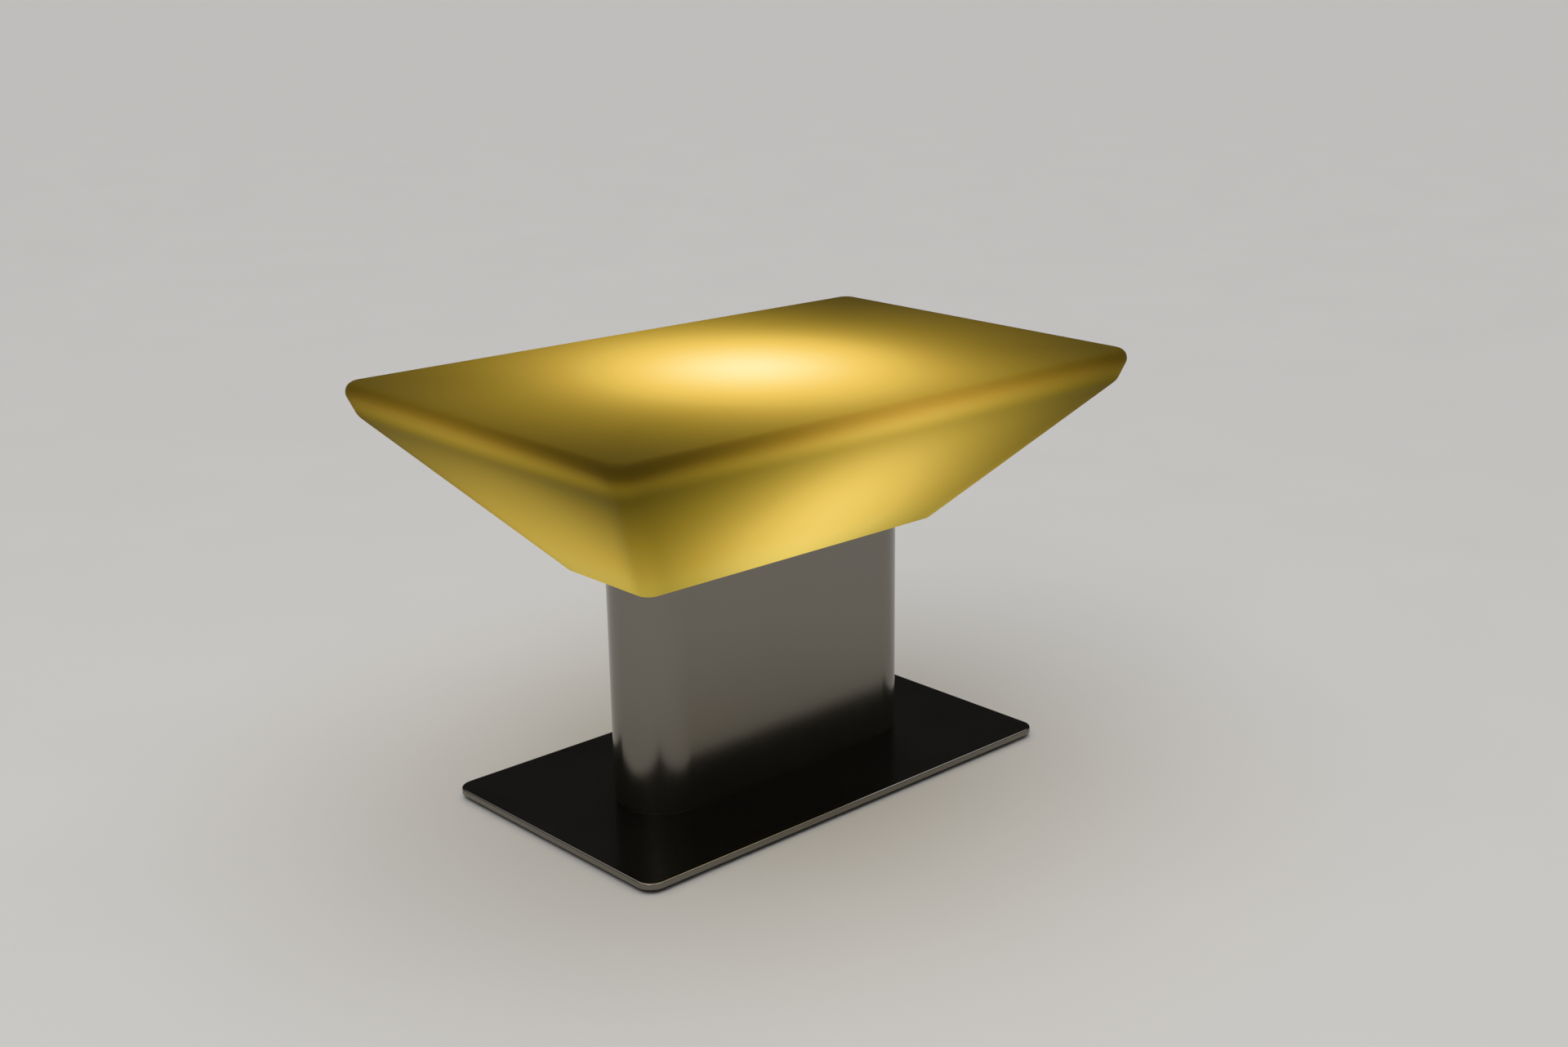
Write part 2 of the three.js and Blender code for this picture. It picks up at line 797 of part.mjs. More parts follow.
// A flange with one round end. The bolts to the base plate screw into it, and a long key reaches the
// carrier plate's bolts through its larger holes while the base plate is off.
function footFlange(side) {
  const radius = flangeWidth / 2;
  const middle = flangeLength / 2 - radius;
  const inner = electricsBayLength / 2;
  const shape = new THREE.Shape();
  shape.moveTo(inner, -radius);
  shape.absarc(middle, 0, radius, -Math.PI / 2, Math.PI / 2);
  shape.lineTo(inner, radius);
  shape.closePath();
  const flange = standing(shape, columnBottom, flangeThickness, endSteps);
  const top = columnBottom + flangeThickness;
  return cut(side > 0 ? flange : flange.rotateZ(Math.PI), [
    ...holesAt(baseBolts, baseBoltRadius + holeGap, columnBottom, top),
    ...holesAt(carrierBolts, accessHoleRadius, columnBottom, top),
  ]);
}

place("column_shell", columnShell(), brushedSteel);
place("column_head_flange", headFlange(), plainSteel);
for (const [name, side] of ends) place(`column_foot_flange_${name}`, footFlange(side), plainSteel);

// The base plate, its countersunk bolts and its rubber feet

const cradleScrews = ends.map(([name, side]) => (
  [name, batteryPlace + side * (batteryLength + cradleLug) / 2, 0]
));

function basePlate() {
  const halfLength = plateLength / 2;
  const halfWidth = plateWidth / 2;
  const levels = [
    level(
      halfLength - plateUnderBevel, halfWidth - plateUnderBevel, plateCorner - plateUnderBevel, plateBottom,
    ),
    level(halfLength, halfWidth, plateCorner, plateBottom + plateUnderBevel),
  ];
  for (let step = 0; step <= softSteps; step++) {
    const angle = (step / softSteps) * (Math.PI / 2);
    const pull = plateEdgeRadius * (1 - Math.cos(angle));
    const z = plateTop - plateEdgeRadius * (1 - Math.sin(angle));
    levels.push(level(halfLength - pull, halfWidth - pull, plateCorner - pull, z));
  }
  const sinkDepth = baseBoltHeadRadius - baseBoltRadius;
  const sinks = baseBolts.map(([, x, y]) => turned([
    [0, plateBottom - cutOverrun],
    [baseBoltHeadRadius + holeGap + cutOverrun, plateBottom - cutOverrun],
    [baseBoltRadius + holeGap, plateBottom + sinkDepth],
    [0, plateBottom + sinkDepth],
  ]).translate(x, y, 0));
  const bite = screwBite + holeGap;
  return cut(lofted(levels).translate(0, plateSetBack, 0), [
    ...holesAt(baseBolts, baseBoltRadius + holeGap, plateBottom, plateTop),
    ...sinks,
    ...footPlaces.map(([, x, y]) => (
      rod(x, y, plateBottom - cutOverrun, plateBottom + bite, smallScrewRadius + holeGap)
    )),
    ...cradleScrews.map(([, x]) => (
      rod(x, 0, plateTop - bite, plateTop + cutOverrun, smallScrewRadius + holeGap)
    )),
  ]);
}

// A countersunk bolt whose flat head lies just inside the plate's underside.
function baseBolt(x, y) {
  const low = plateBottom + seatGap;
  const rim = baseBoltHeadRadius - seatGap;
  const neck = low + rim - baseBoltRadius;
  const key = baseBoltHeadRadius * keyShare;
  const keyTop = low + (neck - low) * keyDepthShare;
  const top = columnBottom + flangeThickness + boltRunOut;
  return turned([
    [0, keyTop],
    [key, keyTop],
    [key, low],
    [rim, low],
    [baseBoltRadius, neck],
    [baseBoltRadius, top],
    [0, top],
  ]).translate(x, y, 0);
}

// A rubber foot: a disc with a bevelled tread and a well that hides its screw.
const footTop = footHeight - seatGap;
const footWellTop = footTop - footSeatDepth;

function foot(x, y) {
  const bore = smallScrewRadius + holeGap;
  const well = smallScrewHeadRadius + holeGap;
  return turned([
    [well, 0],
    [footRadius - footBevel, 0],
    [footRadius, footBevel],
    [footRadius, footTop],
    [bore, footTop],
    [bore, footWellTop],
    [well, footWellTop],
    [well, 0],
  ], roundSides).translate(x, y, 0);
}

place("base_plate", basePlate(), brushedSteel);
for (const [name, x, y] of baseBolts) place(`base_bolt_${name}`, baseBolt(x, y), zincSteel);
for (const [name, x, y] of footPlaces) {
  place(`foot_${name}`, foot(x, y), blackRubber);
  const seat = footWellTop - seatGap;
  const length = plateBottom + screwBite - seat;
  const screw = screwUp(
    x, y, seat, length, smallScrewRadius, smallScrewHeadRadius, smallScrewHeadHeight,
  );
  place(`foot_screw_${name}`, screw, zincSteel);
}

// The battery in its cradle and the junction box, which stand on the base plate inside the column

const batteryBottom = innerFloor + cradleSheet + seatGap;
const batteryTop = batteryBottom + batteryHeight;
const cradleInner = batteryWidth / 2 + seatGap;
const cradleOuter = cradleInner + cradleSheet;

function batteryCradle() {
  const floorTop = innerFloor + cradleSheet;
  const wallTop = innerFloor + cradleWallHeight;
  const wallEnd = batteryLength / 2;
  const floorEnd = wallEnd + cradleLug;
  const tray = join([
    box(-floorEnd, floorEnd, -cradleOuter, cradleOuter, innerFloor, floorTop),
    box(-wallEnd, wallEnd, cradleInner, cradleOuter, innerFloor, wallTop),
    box(-wallEnd, wallEnd, -cradleOuter, -cradleInner, innerFloor, wallTop),
  ]);
  const holes = holesAt(cradleScrews, smallScrewRadius + holeGap, innerFloor, floorTop);
  return cut(tray.translate(batteryPlace, 0, 0), holes);
}

// A strap over the battery and down outside the cradle's walls.
function batteryStrap() {
  const inner = cradleOuter + seatGap;
  const outer = inner + strapSheet;
  const under = batteryTop + seatGap;
  const over = under + strapSheet;
  const half = strapWidth / 2;
  return join([
    box(-half, half, -outer, outer, under, over),
    box(-half, half, inner, outer, innerFloor, over),
    box(-half, half, -outer, -inner, innerFloor, over),
  ]).translate(batteryPlace, 0, 0);
}

const batteryPack = blockAt(
  batteryPlace, batteryLength, batteryWidth, batteryCorner, batteryBottom, batteryHeight,
);
const junctionBox = blockAt(
  junctionPlace, junctionLength, junctionWidth, junctionCorner, innerFloor, junctionHeight,
);
place("battery_cradle", batteryCradle(), zincSteel);
for (const [name, x, y] of cradleScrews) {
  const seat = innerFloor + cradleSheet + seatGap;
  const length = seat - (plateTop - screwBite);
  const screw = screwDown(
    x, y, seat, length, smallScrewRadius, smallScrewHeadRadius, smallScrewHeadHeight,
  );
  place(`cradle_screw_${name}`, screw, zincSteel);
}
place("battery_pack", batteryPack, batteryWrap);
place("battery_strap", batteryStrap(), zincSteel);
place("junction_box", junctionBox, greyPaint);

// The service plate on the back of the column

function servicePlate() {
  const outside = serviceFace + cutOverrun;
  const inside = servicePlateBack - cutOverrun;
  const plate = roundedRectangle(servicePlateLength, servicePlateHeight, servicePlateCorner);
  const switchHole = roundedRectangle(
    switchBodyWidth + 2 * seatGap, switchBodyHeight + 2 * seatGap, switchBodyCorner,
  );
  return cut(facingBack(plate, serviceX, serviceFace, serviceZ, servicePlateThickness), [
    facingBack(switchHole, switchX, outside, serviceZ, outside - inside),
    rodBack(socketX, serviceZ, inside, outside, socketBodyRadius + seatGap, roundSides),
    rodBack(buttonX, serviceZ, inside, outside, buttonBodyRadius + seatGap, roundSides),
    rodBack(indicatorX, serviceZ, inside, outside, indicatorRadius + seatGap),
    ...serviceScrews.map(([, x]) => rodBack(x, serviceZ, inside, outside, panelScrewRadius + holeGap)),
  ]);
}

place("service_plate", servicePlate(), blackPlastic);
for (const [name, x] of serviceScrews) {
  const screw = screwUp(
    0, 0, 0, panelScrewLength, panelScrewRadius, panelScrewHeadRadius, panelScrewHeadHeight,
  ).rotateX(Math.PI / 2);
  place(`service_screw_${name}`, screw.translate(x, bezelBack, serviceZ), zincSteel);
}

// The on-off switch: a housing with a well, and a rocker on two short trunnions in it

const rockerPivotY = bezelFront - rockerPivotDepth;
const rockerTilt = THREE.MathUtils.degToRad(rockerTiltDegrees);
const rockerFace = rockerPivotDepth + rockerProud;
const trunnionReach = rockerWidth + 2 * trunnionLength;

function switchHousing() {
  const lip = roundedRectangle(
    switchBodyWidth + 2 * switchLip, switchBodyHeight + 2 * switchLip, switchLipCorner,
  );
  const body = roundedRectangle(switchBodyWidth, switchBodyHeight, switchBodyCorner);
  const tippedReach = (rockerHeight / 2) * Math.cos(rockerTilt) + rockerFace * Math.sin(rockerTilt);
  const wellHeight = 2 * (tippedReach + runGap);
  const well = roundedRectangle(rockerWidth + 2 * runGap, wellHeight, runGap);
  return cut(join([
    facingBack(lip, switchX, bezelFront, serviceZ, bezelThickness),
    facingBack(body, switchX, bezelFront, serviceZ, bezelThickness + switchBodyDepth),
  ]), [
    facingBack(well, switchX, bezelFront + cutOverrun, serviceZ, rockerWellDepth + cutOverrun),
    rodAcross(switchX, rockerPivotY, serviceZ, trunnionReach + 2 * runGap, trunnionRadius + runGap),
  ]);
}

// The rocker is drawn level about its pivot and stands tipped to one side.
function rocker() {
  const half = rockerHeight / 2;
  const skirt = rockerFace - rockerSkirt;
  const body = profileAcross([
    [rockerFace, half],
    [skirt, half],
    [-rockerHeel, 0],
    [skirt, -half],
    [rockerFace, -half],
    [rockerFace - rockerDip, 0],
  ], rockerWidth);
  return join([body, rodAcross(0, 0, 0, trunnionReach, trunnionRadius)]);
}

place("switch_housing", switchHousing(), blackPlastic);
const rockerMesh = place("rocker", rocker(), blackPlastic);
rockerMesh.position.set(switchX, rockerPivotY, serviceZ);
rockerMesh.rotation.x = rockerTilt;

// The colour button, its housing and its spring

const buttonFace = bezelFront + buttonProud;
const buttonUnderside = buttonFace - buttonLength;
const buttonWellFloor = buttonUnderside - springHeight - 2 * seatGap;

function buttonHousing() {
  const inner = bezelBack - buttonBodyDepth;
  const well = buttonRadius + runGap;
  return pointingBack(turned([
    [0, inner],
    [buttonBodyRadius, inner],
    [buttonBodyRadius, bezelBack],
    [buttonBezelRadius, bezelBack],
    [buttonBezelRadius, bezelFront - bezelBevel],
    [buttonBezelRadius - bezelBevel, bezelFront],
    [well, bezelFront],
    [well, buttonWellFloor],
    [0, buttonWellFloor],
  ], roundSides), buttonX, serviceZ);
}

function colourButton() {
  return pointingBack(turned([
    [0, buttonUnderside],
    [buttonRadius, buttonUnderside],
    [buttonRadius, buttonFace - buttonBevel],
    [buttonRadius - buttonBevel, buttonFace],
    [0, buttonFace],
  ], roundSides), buttonX, serviceZ);
}

class Helix extends THREE.Curve {
  constructor(radius, height, turns) {
    super();
    Object.assign(this, { radius, height, turns });
  }

  getPoint(share, target = new THREE.Vector3()) {
    const angle = share * this.turns * 2 * Math.PI;
    return target.set(this.radius * Math.cos(angle), this.radius * Math.sin(angle), share * this.height);
  }
}

function buttonSpring() {
  const path = new Helix(springRadius, springHeight - 2 * springWireRadius, springTurns);
  const coil = tubeAlong(path, springWireRadius, springWireSides, springTurns * springStepsPerTurn);
  coil.translate(0, 0, buttonWellFloor + seatGap + springWireRadius);
  return pointingBack(coil, buttonX, serviceZ);
}

place("button_housing", buttonHousing(), blackPlastic);
place("colour_button", colourButton(), greyPlastic);
place("button_spring", buttonSpring(), zincSteel);

// The charging socket, with a cover that hangs from a pin between two ears

const coverAxisY = bezelFront + seatGap + coverKnuckleRadius;
const coverAxisZ = serviceZ + socketFlange / 2 - coverKnuckleRadius;
const coverPinLength = coverKnuckleLength + 2 * (runGap + earWidth);

function socketHousing() {
  const flange = roundedRectangle(socketFlange, socketFlange, socketFlangeCorner);
  const inner = bezelBack - socketBodyDepth;
  const boreFloor = bezelFront - socketBoreDepth;
  const ear = (side) => {
    const near = side * (coverKnuckleLength / 2 + runGap);
    const far = near + side * earWidth;
    return box(
      socketX + Math.min(near, far), socketX + Math.max(near, far),
      bezelBack + bezelThickness / 2, coverAxisY + coverKnuckleRadius,
      coverAxisZ - coverKnuckleRadius, coverAxisZ + coverKnuckleRadius,
    );
  };
  const shell = join([
    facingBack(flange, socketX, bezelFront, serviceZ, bezelThickness),
    rodBack(socketX, serviceZ, inner, bezelFront - bezelThickness / 2, socketBodyRadius, roundSides),
    ear(-1),
    ear(1),
  ]);
  const bored = cut(shell, [
    rodBack(socketX, serviceZ, boreFloor, bezelFront + cutOverrun, socketBoreRadius, roundSides),
    rodAcross(socketX, coverAxisY, coverAxisZ, coverPinLength + cutOverrun, coverPinRadius + runGap),
  ]);
  const pinRoot = boreFloor - cutOverrun;
  return join([bored, rodBack(socketX, serviceZ, pinRoot, boreFloor + socketPinLength, socketPinRadius)]);
}

function socketCover() {
  const back = bezelFront + seatGap;
  const front = back + coverThickness;
  const cover = join([
    rodBack(socketX, serviceZ, back, front, coverRadius, roundSides),
    box(socketX - coverNeckWidth / 2, socketX + coverNeckWidth / 2, back, front, serviceZ, coverAxisZ),
    rodAcross(socketX, coverAxisY, coverAxisZ, coverKnuckleLength, coverKnuckleRadius),
    box(
      socketX - coverTabWidth / 2, socketX + coverTabWidth / 2,
      back, back + coverTabThickness,
      serviceZ - coverRadius - coverTabReach, serviceZ - coverRadius + coverTabReach,
    ),
  ]);
  return cut(cover, [
    rodAcross(
      socketX, coverAxisY, coverAxisZ, coverKnuckleLength + cutOverrun, coverPinRadius + runGap,
    ),
  ]);
}

function chargingIndicator() {
  const inner = serviceFace - indicatorDepth;
  const seat = serviceFace + seatGap;
  const crown = seat + indicatorLipHeight;
  const lip = indicatorRadius + indicatorLip;
  return pointingBack(turned([
    [0, inner],
    [indicatorRadius, inner],
    [indicatorRadius, seat],
    [lip, seat],
    [indicatorRadius, crown],
    [0, crown],
  ]), indicatorX, serviceZ);
}

place("socket_housing", socketHousing(), blackPlastic);
place("socket_cover", socketCover(), blackRubber);
place("cover_pin", rodAcross(socketX, coverAxisY, coverAxisZ, coverPinLength, coverPinRadius), zincSteel);
place("charging_indicator", chargingIndicator(), greenLens);

// The leads. Each starts and ends one seatGap from the piece that it is joined to.

const right = [1, 0, 0];
const inwards = [0, -1, 0];
const up = [0, 0, 1];
const down = [0, 0, -1];
const junctionTop = innerFloor + junctionHeight + seatGap;
const junctionMiddle = innerFloor + junctionHeight / 2;
const junctionLeft = junctionPlace - junctionLength / 2 - seatGap;
const junctionRight = junctionPlace + junctionLength / 2 + seatGap;
const batteryRight = batteryPlace + batteryLength / 2 + seatGap;

function batteryLead() {
  const middle = (batteryRight + junctionLeft) / 2;
  return rodAcross(middle, 0, junctionMiddle, junctionLeft - batteryRight, thickLeadRadius, leadSides);
}

// From the junction box up the middle of the column, through the grommet and over to the receiver.
function supplyLead() {
  const start = [junctionRight, 0, junctionMiddle];
  const risen = [grommetX, 0, junctionMiddle + leadRise];
  const through = [grommetX, 0, grommetTop];
  const end = [receiverX + receiverLength / 2 + seatGap, 0, receiverBottom + receiverHeight / 2];
  const path = new THREE.CurvePath();
  path.add(bendBetween(start, right, leadLongBend, risen, down, leadLongBend));
  path.add(new THREE.LineCurve3(new THREE.Vector3(...risen), new THREE.Vector3(...through)));
  path.add(bendBetween(through, up, leadTightBend, end, right, leadTightBend));
  return tubeAlong(path, thickLeadRadius, leadSides, longLeadSteps);
}

function lampLead() {
  const start = [boardLength / 2 + seatGap, boardSocketY, lampLeadZ];
  const end = [receiverX - receiverLength / 4, boardSocketY, receiverTop + seatGap];
  const path = bendBetween(start, right, leadSlack, end, up, leadTightBend);
  return tubeAlong(path, thinLeadRadius, leadSides, leadSteps);
}

place("battery_lead", batteryLead(), blackRubber);
place("supply_lead", supplyLead(), blackRubber);
place("lamp_lead", lampLead(), blackRubber);

// The three leads from the back of the service plate's pieces to the top of the junction box.
const panelLeads = [
  ["socket_lead", socketX, bezelBack - socketBodyDepth - seatGap, -1],
  ["switch_lead", switchX, bezelBack - switchBodyDepth - seatGap, 0],
  ["button_lead", buttonX, bezelBack - buttonBodyDepth - seatGap, 1],
];
for (const [name, x, y, entry] of panelLeads) {
  const end = [junctionPlace + entry * junctionEntrySpacing, junctionEntryY, junctionTop];
  const path = bendBetween([x, y, serviceZ], inwards, leadSlack, end, up, leadSlack);
  place(name, tubeAlong(path, thinLeadRadius, leadSides, leadSteps), blackRubber);
}

export default table;
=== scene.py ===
# %% [markdown]
# # A light-up side table, dressed in Blender
# The table is a glowing moulded shade on a flat steel column, and the column stands on a steel plate.
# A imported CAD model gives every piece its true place, and this lesson gives the pieces that can be seen
# a finer shape and a real surface. Each cell makes one piece or one finish, and prints what it made.

# %% The frame
import json
import math

import bmesh
import bpy
from mathutils import Matrix, Vector


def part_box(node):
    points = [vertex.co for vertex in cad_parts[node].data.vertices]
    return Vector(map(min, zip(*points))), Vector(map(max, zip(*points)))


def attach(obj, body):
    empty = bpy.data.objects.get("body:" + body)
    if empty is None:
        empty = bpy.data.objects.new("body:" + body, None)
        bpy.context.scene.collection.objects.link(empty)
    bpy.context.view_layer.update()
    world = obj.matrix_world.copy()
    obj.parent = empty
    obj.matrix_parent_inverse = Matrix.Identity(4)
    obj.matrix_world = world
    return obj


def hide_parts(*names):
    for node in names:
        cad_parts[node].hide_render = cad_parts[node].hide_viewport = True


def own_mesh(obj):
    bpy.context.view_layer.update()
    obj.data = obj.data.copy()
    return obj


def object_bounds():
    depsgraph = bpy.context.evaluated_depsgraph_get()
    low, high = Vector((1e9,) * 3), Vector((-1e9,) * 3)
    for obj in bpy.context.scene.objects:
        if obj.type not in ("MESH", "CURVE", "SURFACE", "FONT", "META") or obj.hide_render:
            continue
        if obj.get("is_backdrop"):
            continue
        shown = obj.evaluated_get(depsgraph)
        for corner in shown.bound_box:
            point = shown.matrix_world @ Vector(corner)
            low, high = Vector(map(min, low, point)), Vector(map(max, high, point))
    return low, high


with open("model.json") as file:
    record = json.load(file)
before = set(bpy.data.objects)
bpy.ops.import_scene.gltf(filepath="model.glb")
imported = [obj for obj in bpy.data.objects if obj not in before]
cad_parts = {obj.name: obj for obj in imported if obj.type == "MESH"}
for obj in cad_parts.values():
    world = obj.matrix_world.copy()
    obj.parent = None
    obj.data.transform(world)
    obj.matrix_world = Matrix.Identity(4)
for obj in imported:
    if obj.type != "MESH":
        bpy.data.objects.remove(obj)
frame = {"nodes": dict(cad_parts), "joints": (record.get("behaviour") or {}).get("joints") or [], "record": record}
cad_low, cad_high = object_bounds()
nodes = frame["nodes"]
joints = {joint["name"]: joint for joint in frame["joints"]}
mm = 0.001


def middle_of(node):
    low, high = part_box(node)
    return (low + high) / 2


def half_of(node):
    low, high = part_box(node)
    return (high - low) / 2


print("CAD nodes:", len(nodes), "box:", [round(v, 3) for v in (*cad_low, *cad_high)])

# %% [markdown]
# ## The camera
# A photograph is a perspective from one point, so a render only lines up with it when the camera
# stands at that point. The table's edges in the photograph gave the direction, the distance and the
# lens. The sensor shift says that the picture is a crop whose middle isn't where the lens pointed.

# %% The camera
azimuth = math.radians(-46.079)
elevation = math.radians(18.237)
roll = math.radians(0.503)
aim_point = Vector((0, 0, 300)) * mm
camera_distance = 2497.5 * mm
camera_side_step = 209.7 * mm
camera_rise = -22.6 * mm

back = Vector((
    math.sin(azimuth) * math.cos(elevation),
    -math.cos(azimuth) * math.cos(elevation),
    math.sin(elevation),
))
level_right = Vector((math.cos(azimuth), math.sin(azimuth), 0))
level_up = back.cross(level_right)
right = level_right * math.cos(roll) + level_up * math.sin(roll)
up = level_up * math.cos(roll) - level_right * math.sin(roll)


def added(name, data):
    """Puts a mesh, a camera or a lamp into the scene as an object."""
    thing = bpy.data.objects.new(name, data)
    bpy.context.scene.collection.objects.link(thing)
    return thing


camera = added("camera", bpy.data.cameras.new("camera"))
bpy.context.scene.camera = camera
camera.data.sensor_width = 36
camera.data.lens = 44.693
camera.data.shift_x = -0.0872
camera.data.shift_y = 0.0288
camera_place = aim_point + back * camera_distance + right * camera_side_step + up * camera_rise
camera.matrix_world = Matrix.Translation(camera_place) @ Matrix((right, up, back)).transposed().to_4x4()
print("camera at", [round(v, 3) for v in camera_place])

# %% [markdown]
# ## A small language for materials
# A finish is a graph of nodes, and long graphs are hard to read as calls. Here a value in the graph
# is wrapped in a small class, so that sums are written as sums. One method adds every other node.

# %% Values
class Value:
    """A number in a graph of nodes. Python's operators on it add Math nodes."""

    def __init__(self, graph, socket):
        self.graph = graph
        self.socket = socket

    def maths(self, operation, *others):
        return self.graph.add("Math", {"operation": operation}, dict(enumerate((self, *others))))

    def __add__(self, other):
        return self.maths("ADD", other)

    def __sub__(self, other):
        return self.maths("SUBTRACT", other)

    def __mul__(self, other):
        return self.maths("MULTIPLY", other)

    def __truediv__(self, other):
        return self.maths("DIVIDE", other)

    def __pow__(self, other):
        return self.maths("POWER", other)

    def __rsub__(self, other):
        return self.graph.add("Math", {"operation": "SUBTRACT"}, {0: other, 1: self})

    def __rtruediv__(self, other):
        return self.graph.add("Math", {"operation": "DIVIDE"}, {0: other, 1: self})

    __radd__ = __add__
    __rmul__ = __mul__

    def size(self):
        return self.maths("ABSOLUTE")

    def at_least(self, least):
        return self.maths("MAXIMUM", least)

    def between(self, low, high, start=0.0, end=1.0, way="SMOOTHSTEP"):
        """start below low, end above high, and a smooth or LINEAR change in between."""
        inputs = {"Value": self, "From Min": low, "From Max": high, "To Min": start, "To Max": end}
        return self.graph.add("MapRange", {"interpolation_type": way}, inputs)

    def bell(self, width):
        """1 at nought, falling smoothly to nothing about two widths away on either side."""
        return ((self / width) ** 2 * -1).maths("EXPONENT")

    def fading(self, length):
        """1 at nought, and about a third of that at each further length."""
        return (self / -length).maths("EXPONENT")


def methods(kind):
    return [name for name in vars(kind) if not name.startswith("_")]


print("a value has", methods(Value))


# %% Graphs of nodes
class Graph:
    """A tree of nodes that is being built."""

    def __init__(self, tree):
        self.tree = tree

    def fill(self, socket, value):
        if isinstance(value, Value):
            self.tree.links.new(value.socket, socket)
        elif socket.type == "RGBA":
            socket.default_value = (*value[:3], 1)
        else:
            socket.default_value = value

    def add(self, kind, settings, inputs, output=0):
        """Adds one node. The settings come first, because some of them decide which sockets it has."""
        node = self.tree.nodes.new("ShaderNode" + kind)
        for name, value in settings.items():
            if name == "stops":
                ramp = node.color_ramp.elements
                while len(ramp) < len(value):
                    ramp.new(1)
                for element, (position, colour) in zip(ramp, value):
                    element.position = position
                    element.color = (*colour, 1)
            else:
                setattr(node, name, value)
        for name, value in inputs.items():
            self.fill(node.inputs[name], value)
        return Value(self, node.outputs[output])

    def split(self, vector):
        """The three numbers of a vector."""
        node = self.add("SeparateXYZ", {}, {"Vector": vector}).socket.node
        return [Value(self, socket) for socket in node.outputs]

    def ramp(self, value, stops):
        return self.add("ValToRGB", {"stops": stops}, {"Fac": value})


print("a graph has", methods(Graph))

# %% Finishes
finishes = {}


class Finish(Graph):
    """A material that is being built. It is kept in the table of finishes by its name."""

    def __init__(self, name):
        finishes[name] = self
        self.material = bpy.data.materials.new(name)
        self.material.use_nodes = True
        super().__init__(self.material.node_tree)
        self.tree.nodes.clear()
        self.shader = self.tree.nodes.new("ShaderNodeBsdfPrincipled")
        surface = self.tree.nodes.new("ShaderNodeOutputMaterial").inputs["Surface"]
        self.tree.links.new(self.shader.outputs[0], surface)
        self.place = self.add("TexCoord", {}, {}, output="Object")

    def set(self, **inputs):
        """Fills the shader's sockets. An underscore in a name stands for a space."""
        for name, value in inputs.items():
            self.fill(self.shader.inputs[name.replace("_", " ")], value)

    def noise(self, scale, detail=2, stretch=(1, 1, 1)):
        """Noise over the piece, from 0 to 1. The scale is in waves a metre, and stretch squeezes it."""
        place = self.add("Mapping", {}, {"Vector": self.place, "Scale": stretch})
        return self.add("TexNoise", {}, {"Vector": place, "Scale": scale, "Detail": detail})

    def mix(self, share, first, second, blend="MIX"):
        """A colour between two colours. Sockets 6 and 7 of the Mix node are its colours, A and B."""
        settings = {"data_type": "RGBA", "blend_type": blend}
        return self.add("Mix", settings, {0: share, 6: first, 7: second}, output=2)

    def bump(self, height, distance):
        """A bump from a height between 0 and 1, which stands for that distance in metres."""
        bump = self.add("Bump", {}, {"Height": height, "Distance": distance, "Strength": 1})
        self.set(Normal=bump)


print("a finish has", methods(Finish))

# %% [markdown]
# ## The shade's measures
# The shade is four sides that open out from the column, a crease, a short rim that leans out above it,
# and a softly rounded edge round the flat top. Its glow and its shape both follow from these sizes, so
# they come first. The half sizes and heights are read from the CAD boxes.

# %% The shade's measures
shade_low, shade_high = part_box("shade_body")
column_low, column_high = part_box("column_shell")
rim_drop = 42 * mm
rim_inset = 12 * mm
edge_radius = 13 * mm
top_corner = 24 * mm
ledge_long = 16 * mm
ledge_short = 21 * mm
foot_x = column_high.x + ledge_long
foot_y = column_high.y + ledge_short
foot_z = shade_low.z
crease_x = shade_high.x - rim_inset
crease_y = shade_high.y - rim_inset
crease_z = shade_high.z - rim_drop
edge_z = shade_high.z - edge_radius
rise = crease_z - foot_z
print("the sides rise", round(rise / mm), "mm and the rim", round((edge_z - crease_z) / mm), "mm")

# %% [markdown]
# ## The glowing plastic
# The shade is a hollow moulding with a lamp inside. A light in a translucent mesh could give its glow,
# but that is slow and noisy, and an exported model would lose it. So the law of the light is written
# as shader maths and painted as emission. Light fades with the square of its distance, and a
# wall that it strikes at a slant gets less. The lamp points up, so it lights the top itself, and the
# white-hot patch that it makes there lights the four sides. Where two walls meet, light spreads inside
# the plastic, so each wall has a soft share by its distance. On the rounded edge the glow is painted
# darker and browner, as painted shade, most of all at the front left corner. The lamp stands a little
# to the left, so the right end of the top is the darkest.

# %% The lamp and the bright patch above it
lamp_place = Vector((-21, -14, 390)) * mm
lamp_power = 0.0732
patch_place = Vector((-6, 8, 546)) * mm
patch_power = lamp_power * 1.28
patch_softness = 107 * mm
grazing = 3 * mm


def leaning(run, height):
    """How far a wall's face points outwards and upwards, where it goes out by run in that height."""
    return Vector((height, -run)).normalized()


side_x = leaning(crease_x - foot_x, rise)
side_y = leaning(crease_y - foot_y, rise)
rim_face = leaning(rim_inset, edge_z - crease_z)


def reach(finish, source, softness=0.0):
    """The ray from a source, and how much of the source's light is left at the end of it."""
    ray = finish.add("VectorMath", {"operation": "SUBTRACT"}, {0: finish.place, 1: source})
    x, y, z = finish.split(ray)
    return (x, y, z), 1 / (x * x + y * y + z * z + softness ** 2) ** 1.5


print("the long sides look down by", round(math.degrees(math.atan2(-side_y.y, side_y.x))), "degrees")

# %% The light on the sides
spread = 18.75 * mm
crease_gap = 12 * mm
short_shade = 0.52
short_fade = 90 * mm
long_shade = 0.41
long_fade = 140 * mm
middle_width = 80 * mm
short_middle_loss = 0.10
long_middle_gain = 0.12
long_side_loss = 0.045
rim_loss = 0.25
foot_loss = 0.06
least_share = 1e-6


